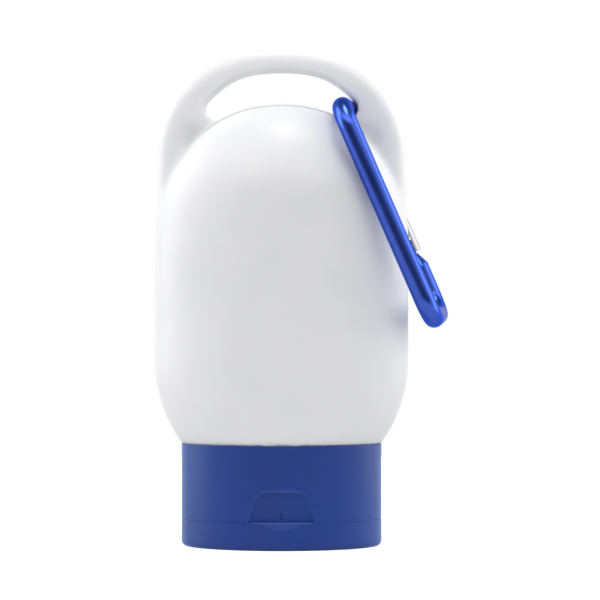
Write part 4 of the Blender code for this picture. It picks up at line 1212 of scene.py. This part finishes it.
@dataclass
class SnapHook:
    """Bent wire frame with a sprung gate, two rivets, a coil spring and a plunger."""

    pocket_half_span: float = 0.01295
    pocket_z: float = 0.087148
    tilt: float = math.radians(23.47)
    yaw: float = math.radians(8.8)
    forward: float = 0.0004
    wire: float = 0.0020
    wire_sides: int = 40
    length: float = 0.0491
    front: float = 0.010688
    back: float = 0.01154
    front_corner: float = 0.0045
    back_corner: float = 0.0050
    gate_radius: float = 0.0018
    gate_length: float = 0.0248
    gate_from_top: float = 0.0046
    pin_drop: float = 0.0012
    top_gap: float = 0.00046
    end_gap: float = 0.00045
    pin: float = 0.00045
    pin_gap: float = 0.00005
    pin_dome: float = 0.00012
    tongue_half_thickness: float = 0.00065
    tongue_half_width: float = 0.0014
    tongue_gap: float = 0.00015
    tongue_edge: float = 0.00012
    heel_drop: float = 0.0017
    hinge_slot: float = 0.0050
    chamber_radius: float = 0.00085
    chamber_length: float = 0.0106
    plunger_radius: float = 0.0007
    plunger_length: float = 0.0033
    plunger_gap: float = 0.00015
    spring_gap: float = 0.00028
    spring_wire: float = 0.00012
    spring_mean: float = 0.0006
    spring_turns: float = 9.0
    nose_cone: float = 0.00245
    nose_rise: float = 0.0028
    latch_pin_rise: float = 0.0013
    latch_gap: float = 0.0002
    slot_clear: float = 0.00045
    block_width: float = 0.01
    back_wall: float = 0.00065
    frame_finish: AnodisedAluminium = field(default_factory=AnodisedAluminium)
    gate_finish: BareMetal = field(default_factory=lambda: BareMetal(
        "bare_turned_aluminium", (0.49, 0.49, 0.51), (0.43, 0.43, 0.45), 0.40))
    steel_finish: BareMetal = field(default_factory=lambda: BareMetal(
        "plain_steel", (0.50, 0.50, 0.52), (0.42, 0.42, 0.44), 0.32))

    def __post_init__(self) -> None:
        """Work out the places that follow from the sizes."""
        self.gate_top = -(self.gate_from_top + self.wire)
        self.gate_end = self.gate_top - self.gate_length
        self.hinge_pin_z = self.gate_top - self.pin_drop
        self.latch_pin_z = self.gate_end + self.latch_pin_rise
        self.slot_end = self.gate_top - self.hinge_slot
        self.plunger_top = self.hinge_pin_z - self.heel_drop - self.plunger_gap
        self.place = (Matrix.Translation((self.pocket_half_span, 0, self.pocket_z))
                      @ Matrix.Rotation(-self.tilt, 4, "Y") @ Matrix.Rotation(-self.yaw, 4, "Z")
                      @ Matrix.Translation((0, -self.forward, 0)))

    def build(self) -> list[bpy.types.Object]:
        """Return the hook's pieces."""
        blue = self.frame_finish.build()
        silver = self.gate_finish.build()
        steel = self.steel_finish.build()
        made = [
            (self._build_frame(blue), "carabiner_frame", "hook", "blue_anodised_aluminium"),
            (self._build_gate(silver), "carabiner_gate", "gate", "bare_aluminium"),
            (self._build_rivet("hinge_rivet", self.hinge_pin_z, steel), "gate_hinge_pin", "gate",
             "rivet_steel"),
            (self._build_rivet("latch_rivet", self.latch_pin_z, steel), "gate_latch_pin", "gate",
             "rivet_steel"),
            (self._build_coil(steel), "gate_spring", "gate", "rivet_steel"),
            (self._build_plunger(steel), "gate_plunger", "plunger", "rivet_steel"),
        ]
        for piece, node, body, slot in made:
            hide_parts(node)
            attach(piece, body)
        return [piece for piece, *_ in made]

    @staticmethod
    def _arc(across: float, along: float, radius: float, start: float) -> list[Pair]:
        """Return a quarter turn's points in the hook's plane, from an angle in degrees."""
        steps = 18
        points = []
        for step in range(steps + 1):
            angle = math.radians(start + 90 * step / steps)
            points.append((across + radius * math.cos(angle), along + radius * math.sin(angle)))
        return points

    def _route(self) -> list[Point]:
        """Return (across, along, share of the wire's radius) along the frame's wire."""
        front, back = -self.front, self.back
        front_corner, back_corner = self.front_corner, self.back_corner
        far = -(self.length - 2 * self.wire)
        top = self.gate_top + self.top_gap
        nose = self.gate_end - self.end_gap
        cone = nose - self.nose_cone
        line = [(back, top)]
        line += self._arc(back - back_corner, -back_corner, back_corner, 0)
        line += self._arc(front + front_corner, -front_corner, front_corner, 90)
        line += [(front, far * share) for share in (0.3, 0.5, 0.7)]
        line += self._arc(front + front_corner, far + front_corner, front_corner, 180)
        line += self._arc(back - back_corner, far + back_corner, back_corner, 270)
        line.append((back, cone - 0.0004))
        start = [(back, top - 0.00016, 0.86), (back, top - 0.0001, 0.95)]
        end = [(back, cone - 0.0001, 0.995), (back, cone + 0.0002, 0.93),
               (back, nose - 0.0003, 0.48), (back, nose - 0.0001, 0.42), (back, nose, 0.33)]
        return start + [(across, along, 1.0) for across, along in line] + end

    def _build_frame(self, material: bpy.types.Material) -> bpy.types.Object:
        """Return the bent wire with its two tongues, the wire swept by geometry nodes."""
        route = self._route()
        mesh = bpy.data.meshes.new("hook_route")
        mesh.from_pydata([(0.0, across, along) for across, along, _ in route],
                         [(i, i + 1) for i in range(len(route) - 1)], [])
        shares = mesh.attributes.new("thickness", "FLOAT", "POINT")
        shares.data.foreach_set("value", [share for *_, share in route])
        tree = PieceTree("wire_sweep", {SweepInput.RADIUS: (FLOAT, self.wire),
                                        SweepInput.SIDES: (INTEGER, self.wire_sides)})
        curve = tree.graph.node("GeometryNodeMeshToCurve", None, {"Mesh": tree.start})
        thickness = tree.graph.node("GeometryNodeInputNamedAttribute", None,
                                    {"Name": "thickness"})
        swept = tree.sweep(curve, tree.input(SweepInput.SIDES), 1.0,
                           thickness * tree.input(SweepInput.RADIUS))
        bm = tree.run(link_object("hook_route", mesh), swept, material)
        for outline in (self._hinge_tongue(), self._nose_tongue()):
            self._add_plate(bm, outline)
        return self._finish(bm, "hook_frame", material, sharp_degrees=38.0)

    def _hinge_tongue(self) -> list[Pair]:
        """Return the outline of the tongue that the gate turns on."""
        half = self.tongue_half_width
        root = self.gate_top + self.top_gap + self.wire / 2
        heel = self.hinge_pin_z - self.heel_drop
        ease = half / 4
        return [(self.back - half, root), (self.back - half, heel + ease),
                (self.back - half + ease, heel), (self.back + half - ease, heel),
                (self.back + half, heel + ease), (self.back + half, root)]

    def _nose_tongue(self) -> list[Pair]:
        """Return the outline of the hooked tongue that takes the latch rivet."""
        reach = self.pin + self.latch_gap
        inner = self.back - self.tongue_half_width
        notch = self.back + reach
        outer = notch + self.back_wall
        top = self.gate_end + self.nose_rise - self.latch_gap
        foot = self.gate_end - self.end_gap - self.nose_cone / 2
        ease = self.latch_gap
        pin = self.latch_pin_z
        return [(inner + reach, foot), (outer, foot), (outer, top - ease), (outer - ease, top),
                (inner + ease, top), (inner, top - ease), (inner, pin + reach),
                (notch, pin + reach), (notch, pin - reach), (inner + ease, pin - reach)]

    def _add_plate(self, bm: bmesh.types.BMesh, outline: list[Pair]) -> None:
        """Add a flat plate with eased edges across the hook's plane."""
        half = self.tongue_half_thickness
        near, far = ([bm.verts.new((x, a, b)) for a, b in outline] for x in (-half, half))
        rims = [edge for loop in (near, far) for edge in bm.faces.new(loop).edges]
        for index, vert in enumerate(near):
            after = (index + 1) % len(outline)
            bm.faces.new((vert, near[after], far[after], far[index]))
        bmesh.ops.bevel(bm, geom=rims, offset=self.tongue_edge, segments=2, affect="EDGES",
                        profile=0.5)

    def _finish(self, bm: bmesh.types.BMesh, name: str, material: bpy.types.Material,
                sharp_degrees: float) -> bpy.types.Object:
        """Turn a bmesh in the hook's own frame into a piece at its place."""
        bmesh.ops.transform(bm, matrix=self.place, verts=bm.verts)
        bmesh.ops.recalc_face_normals(bm, faces=bm.faces)
        return link_mesh(name, self._to_mesh(name, bm), material, sharp_degrees)

    @staticmethod
    def _to_mesh(name: str, bm: bmesh.types.BMesh) -> bpy.types.Mesh:
        """Turn a bmesh into a mesh, and free it."""
        mesh = bpy.data.meshes.new(name)
        bm.to_mesh(mesh)
        bm.free()
        return mesh

    def _tool(self, name: str, bm: bmesh.types.BMesh) -> bpy.types.Object:
        """Link a bmesh as a helper object."""
        return link_object(name, self._to_mesh(name, bm))

    @staticmethod
    def _revolved(profile: Sequence[Pair], sides: int,
                  lay: Callable[[float, float, float], Point]) -> bmesh.types.BMesh:
        """Return a closed solid of revolution.

        Args:
            profile: (radius, place along the axis) points; a radius of 0 is a pole.
            sides: How many points a ring has.
            lay: Returns the point for a place along the axis and two places across it.

        Returns:
            The solid.
        """
        bm = bmesh.new()
        rings = []
        for radius, along in profile:
            turns = [math.tau * side / sides for side in range(sides if radius else 1)]
            rings.append([bm.verts.new(lay(along, radius * math.cos(a), radius * math.sin(a)))
                          for a in turns])
        for lower, upper in zip(rings, rings[1:]):
            for side in range(sides):
                after = (side + 1) % sides
                corners = [lower[side % len(lower)], lower[after % len(lower)],
                           upper[after % len(upper)], upper[side % len(upper)]]
                bm.faces.new(list(dict.fromkeys(corners)))
        bmesh.ops.recalc_face_normals(bm, faces=bm.faces)
        return bm

    def _turned(self, profile: Sequence[Pair], sides: int) -> bmesh.types.BMesh:
        """Return a solid turned about the gate's axis from (radius, height) points."""
        return self._revolved(profile, sides, lambda z, u, v: (u, self.back + v, z))

    def _pin(self, z: float, radius: float, half: float, dome: float = 0.0) -> bmesh.types.BMesh:
        """Return a pin across the hook's plane, with domed ends where a dome is given."""
        end = [(0.0, half + dome), (radius * 0.6, half + dome * 0.75), (radius, half)]
        profile = [(size, -x) for size, x in end] + list(reversed(end))
        return self._revolved(profile, 28, lambda x, u, v: (x, self.back + u, z + v))

    def _block(self, name: str, low: float, high: float) -> bpy.types.Object:
        """Return a slot's cutter across the gate."""
        half = self.tongue_half_thickness + self.tongue_gap
        bm = bmesh.new()
        bmesh.ops.create_cube(bm, size=1.0)
        bmesh.ops.scale(bm, vec=(2 * half, self.block_width, high - low), verts=bm.verts)
        bmesh.ops.translate(bm, vec=(0.0, self.back, (low + high) / 2), verts=bm.verts)
        return self._tool(name, bm)

    def _build_gate(self, material: bpy.types.Material) -> bpy.types.Object:
        """Return the gate, slotted at both ends, bored and drilled."""
        r, top, end = self.gate_radius, self.gate_top, self.gate_end
        past = 0.001
        profile = [(0.0, end), (r - 0.0003, end), (r - 0.0001, end + 0.00007), (r, end + 0.0003),
                   (r, top - 0.0008), (r - 0.0002, top - 0.00036), (r - 0.0008, top), (0.0, top)]
        gate = self._tool("gate_blank", self._turned(profile, 56))
        bore = self.chamber_radius
        bore_low, bore_top = self.slot_end - self.chamber_length, self.slot_end + past / 2
        chamber = [(0.0, bore_low), (bore, bore_low), (bore, bore_top), (0.0, bore_top)]
        hole, reach = self.pin + self.pin_gap, self.gate_radius + 0.0012
        cuts = [self._block("hinge_slot", self.slot_end, top + past),
                self._block("latch_slot", end - past, end + self.nose_rise + self.slot_clear),
                self._tool("chamber", self._turned(chamber, 32)),
                self._tool("hinge_hole", self._pin(self.hinge_pin_z, hole, reach)),
                self._tool("latch_hole", self._pin(self.latch_pin_z, hole, reach))]
        for cut in cuts:
            modifier = gate.modifiers.new(cut.name, "BOOLEAN")
            modifier.operation = "DIFFERENCE"
            modifier.solver = "EXACT"
            modifier.object = cut
        bm = bmesh.new()
        bm.from_mesh(bake(gate))
        for cut in cuts:
            bpy.data.objects.remove(cut, do_unlink=True)
        return self._finish(bm, "hook_gate", material, sharp_degrees=28.0)

    def _build_rivet(self, name: str, z: float, material: bpy.types.Material) -> bpy.types.Object:
        """Return a rivet with peened, slightly domed ends."""
        bm = self._pin(z, self.pin, self.gate_radius - self.pin_gap, self.pin_dome)
        return self._finish(bm, name, material, sharp_degrees=50.0)

    def _build_coil(self, material: bpy.types.Material) -> bpy.types.Object:
        """Return the gate's spring, made by geometry nodes."""
        top = self.plunger_top - self.plunger_length - self.spring_gap - self.spring_wire
        low = self.slot_end - self.chamber_length + self.plunger_gap + self.spring_wire
        tree = PieceTree("coil_spring", {
            CoilInput.RADIUS: (FLOAT, self.spring_wire), CoilInput.MEAN: (FLOAT, self.spring_mean),
            CoilInput.TURNS: (FLOAT, self.spring_turns), CoilInput.HEIGHT: (FLOAT, top - low),
            CoilInput.POINTS: (INTEGER, 24), CoilInput.SIDES: (INTEGER, 10)})
        mean = tree.input(CoilInput.MEAN)
        spiral = tree.graph.node("GeometryNodeCurveSpiral", None, {
            "Resolution": tree.input(CoilInput.POINTS), "Rotations": tree.input(CoilInput.TURNS),
            "Start Radius": mean, "End Radius": mean, "Height": tree.input(CoilInput.HEIGHT)})
        coil = tree.sweep(spiral, tree.input(CoilInput.SIDES), tree.input(CoilInput.RADIUS))
        bm = tree.run(link_object("coil_seed", bpy.data.meshes.new("coil_seed")), coil, material)
        bmesh.ops.translate(bm, vec=(0.0, self.back, low), verts=bm.verts)
        return self._finish(bm, "gate_coil", material, sharp_degrees=60.0)

    def _build_plunger(self, material: bpy.types.Material) -> bpy.types.Object:
        """Return the plunger with a rounded tip."""
        r, top = self.plunger_radius, self.plunger_top
        low = top - self.plunger_length
        profile = [(0.0, low), (r - 0.0001, low), (r, low + 0.0001), (r, top - 0.0003),
                   (r * 0.9, top - 0.00012), (r * 0.6, top - 0.00002), (0.0, top)]
        return self._finish(self._turned(profile, 32), "gate_plunger_pin", material,
                            sharp_degrees=40.0)


# Studio


@dataclass(frozen=True)
class Softbox:
    """A soft rectangular light aimed at the bottle's middle."""

    name: str
    place: Point
    size: Pair
    power: float

    def build(self, aim: Point) -> None:
        """Add the light.

        Args:
            aim: The point that it faces.
        """
        data = bpy.data.lights.new(self.name, "AREA")
        data.shape = "RECTANGLE"
        data.size, data.size_y = self.size
        data.energy = self.power
        light = link_object(self.name, data)
        light.location = self.place
        way = Vector(aim) - Vector(self.place)
        light.rotation_euler = way.to_track_quat("-Z", "Y").to_euler()


@dataclass
class Studio:
    """Pale floor, soft lights all round and the camera at the photograph's place."""

    floor_radius: float = 0.30
    floor_sides: int = 96
    floor_colour: Colour = (0.55, 0.55, 0.56)
    floor_glow: float = 0.80
    gloss_glow: float = 0.20
    camera_distance: float = 0.380
    camera_height: float = 0.040
    camera_clip: float = 0.01
    lens: float = 114.0
    sensor: float = 36.0
    shift: Pair = (0.0307, 0.075)
    sky_low: float = 0.11
    sky_front: float = 2.36
    sky_side: float = 0.84
    sky_back: float = 0.70
    sky_top: float = 0.30
    front_range: Pair = (0.35, 0.80)
    back_range: Pair = (0.35, 0.90)
    raised_range: Pair = (0.26, 0.50)
    high_range: Pair = (0.62, 0.88)
    aim: Point = (0.0, 0.0, 0.05)
    softboxes: tuple[Softbox, ...] = (
        Softbox("softbox_left", (-0.74, 0.00, 0.25), (0.5, 0.9), 3.0),
        Softbox("softbox_right", (0.74, 0.05, 0.25), (0.5, 0.9), 2.5),
        Softbox("softbox_top", (0.05, -0.22, 0.70), (0.24, 0.34), 1.75),
        Softbox("rim_left", (-0.55, 0.62, 0.20), (0.35, 0.8), 0.6),
        Softbox("rim_right", (0.55, 0.62, 0.20), (0.35, 0.8), 0.55),
    )

    def build(self) -> None:
        """Make the floor, the world, the lights and the camera."""
        self._build_floor()
        self._build_world()
        for softbox in self.softboxes:
            softbox.build(self.aim)
        self._build_camera()

    def _build_floor(self) -> None:
        """Make the floor: white to the camera and to reflections, but it keeps the shadow."""
        sides = self.floor_sides
        points = [(0.0, 0.0, 0.0)]
        points += [(self.floor_radius * math.cos(math.tau * k / sides),
                    self.floor_radius * math.sin(math.tau * k / sides), 0.0) for k in range(sides)]
        mesh = bpy.data.meshes.new("studio_floor")
        mesh.from_pydata(points, [], [(0, k + 1, (k + 1) % sides + 1) for k in range(sides)])
        mesh.materials.append(self._paper())
        link_object("studio_floor", mesh)

    def _paper(self) -> bpy.types.Material:
        """Return the floor's paper, which glows a little where the camera sees it."""
        material = bpy.data.materials.new("studio_paper")
        material.use_nodes = True
        graph = self._cleared(material.node_tree)
        paper = graph.node("ShaderNodeBsdfDiffuse", None, {"Color": (*self.floor_colour, 1.0)})
        path = graph.node("ShaderNodeLightPath").socket.node.outputs
        direct = Wire(graph, path["Is Camera Ray"]) + Wire(graph, path["Is Transmission Ray"])
        glossy = Wire(graph, path["Is Glossy Ray"])
        seen = graph.maths("MINIMUM", direct + glossy, 1.0)
        level = direct * self.floor_glow + glossy * self.gloss_glow
        glow = graph.node("ShaderNodeEmission", None, {"Strength": level})
        lit = graph.node("ShaderNodeAddShader", None, {0: paper, 1: glow})
        chosen = graph.node("ShaderNodeMixShader", None, {0: seen, 1: paper, 2: lit})
        graph.node("ShaderNodeOutputMaterial", None, {"Surface": chosen})
        return material

    @staticmethod
    def _cleared(tree: bpy.types.NodeTree) -> Graph:
        """Return the graph of an emptied tree."""
        tree.nodes.clear()
        return Graph(tree)

    def _build_world(self) -> None:
        """Light from all round, strongest from the front above the horizon; white behind."""
        world = bpy.data.worlds.new("studio_world")
        bpy.context.scene.world = world
        world.use_nodes = True
        graph = self._cleared(world.node_tree)
        way = graph.coordinates("Generated")
        front, up = graph.along(way, "Y"), graph.along(way, "Z")
        toward = graph.clamp_share(0 - front, *self.front_range)
        away = graph.clamp_share(front, *self.back_range)
        raised = graph.clamp_share(up, *self.raised_range)
        high = graph.clamp_share(up, *self.high_range)
        ahead = self.sky_low + (self.sky_front - self.sky_low) * raised
        level = self.sky_side + (ahead - self.sky_side) * toward
        level = level + (self.sky_back - self.sky_side) * away
        sky = level + (self.sky_top - level) * high
        path = graph.node("ShaderNodeLightPath", output="Is Camera Ray")
        strength = graph.maths("MAXIMUM", sky, path)
        back = graph.node("ShaderNodeBackground", None, {
            "Color": (1.0, 1.0, 1.0, 1.0), "Strength": strength})
        graph.node("ShaderNodeOutputWorld", None, {"Surface": back})

    def _build_camera(self) -> None:
        """Place the level camera, with the small shift that the framing needs."""
        data = bpy.data.cameras.new("photo_camera")
        data.lens = self.lens
        data.sensor_width = self.sensor
        data.sensor_fit = "HORIZONTAL"
        data.shift_x, data.shift_y = self.shift
        data.clip_start = self.camera_clip
        camera = link_object("photo_camera", data)
        camera.location = (0.0, -self.camera_distance, self.camera_height)
        camera.rotation_euler = (math.pi / 2, 0.0, 0.0)
        bpy.context.scene.camera = camera


def main() -> None:
    """Build the studio and every sub-assembly."""
    logging.basicConfig(level=logging.INFO, format="%(name)s: %(message)s")
    bpy.context.scene.view_settings.view_transform = "Standard"
    Studio().build()
    pieces = [Bottle().build()] + Closure().build() + SnapHook().build()
    for piece in pieces:
        log.info("%s: %d faces", piece.name, len(piece.data.polygons))


if __name__ == "__main__":
    main()
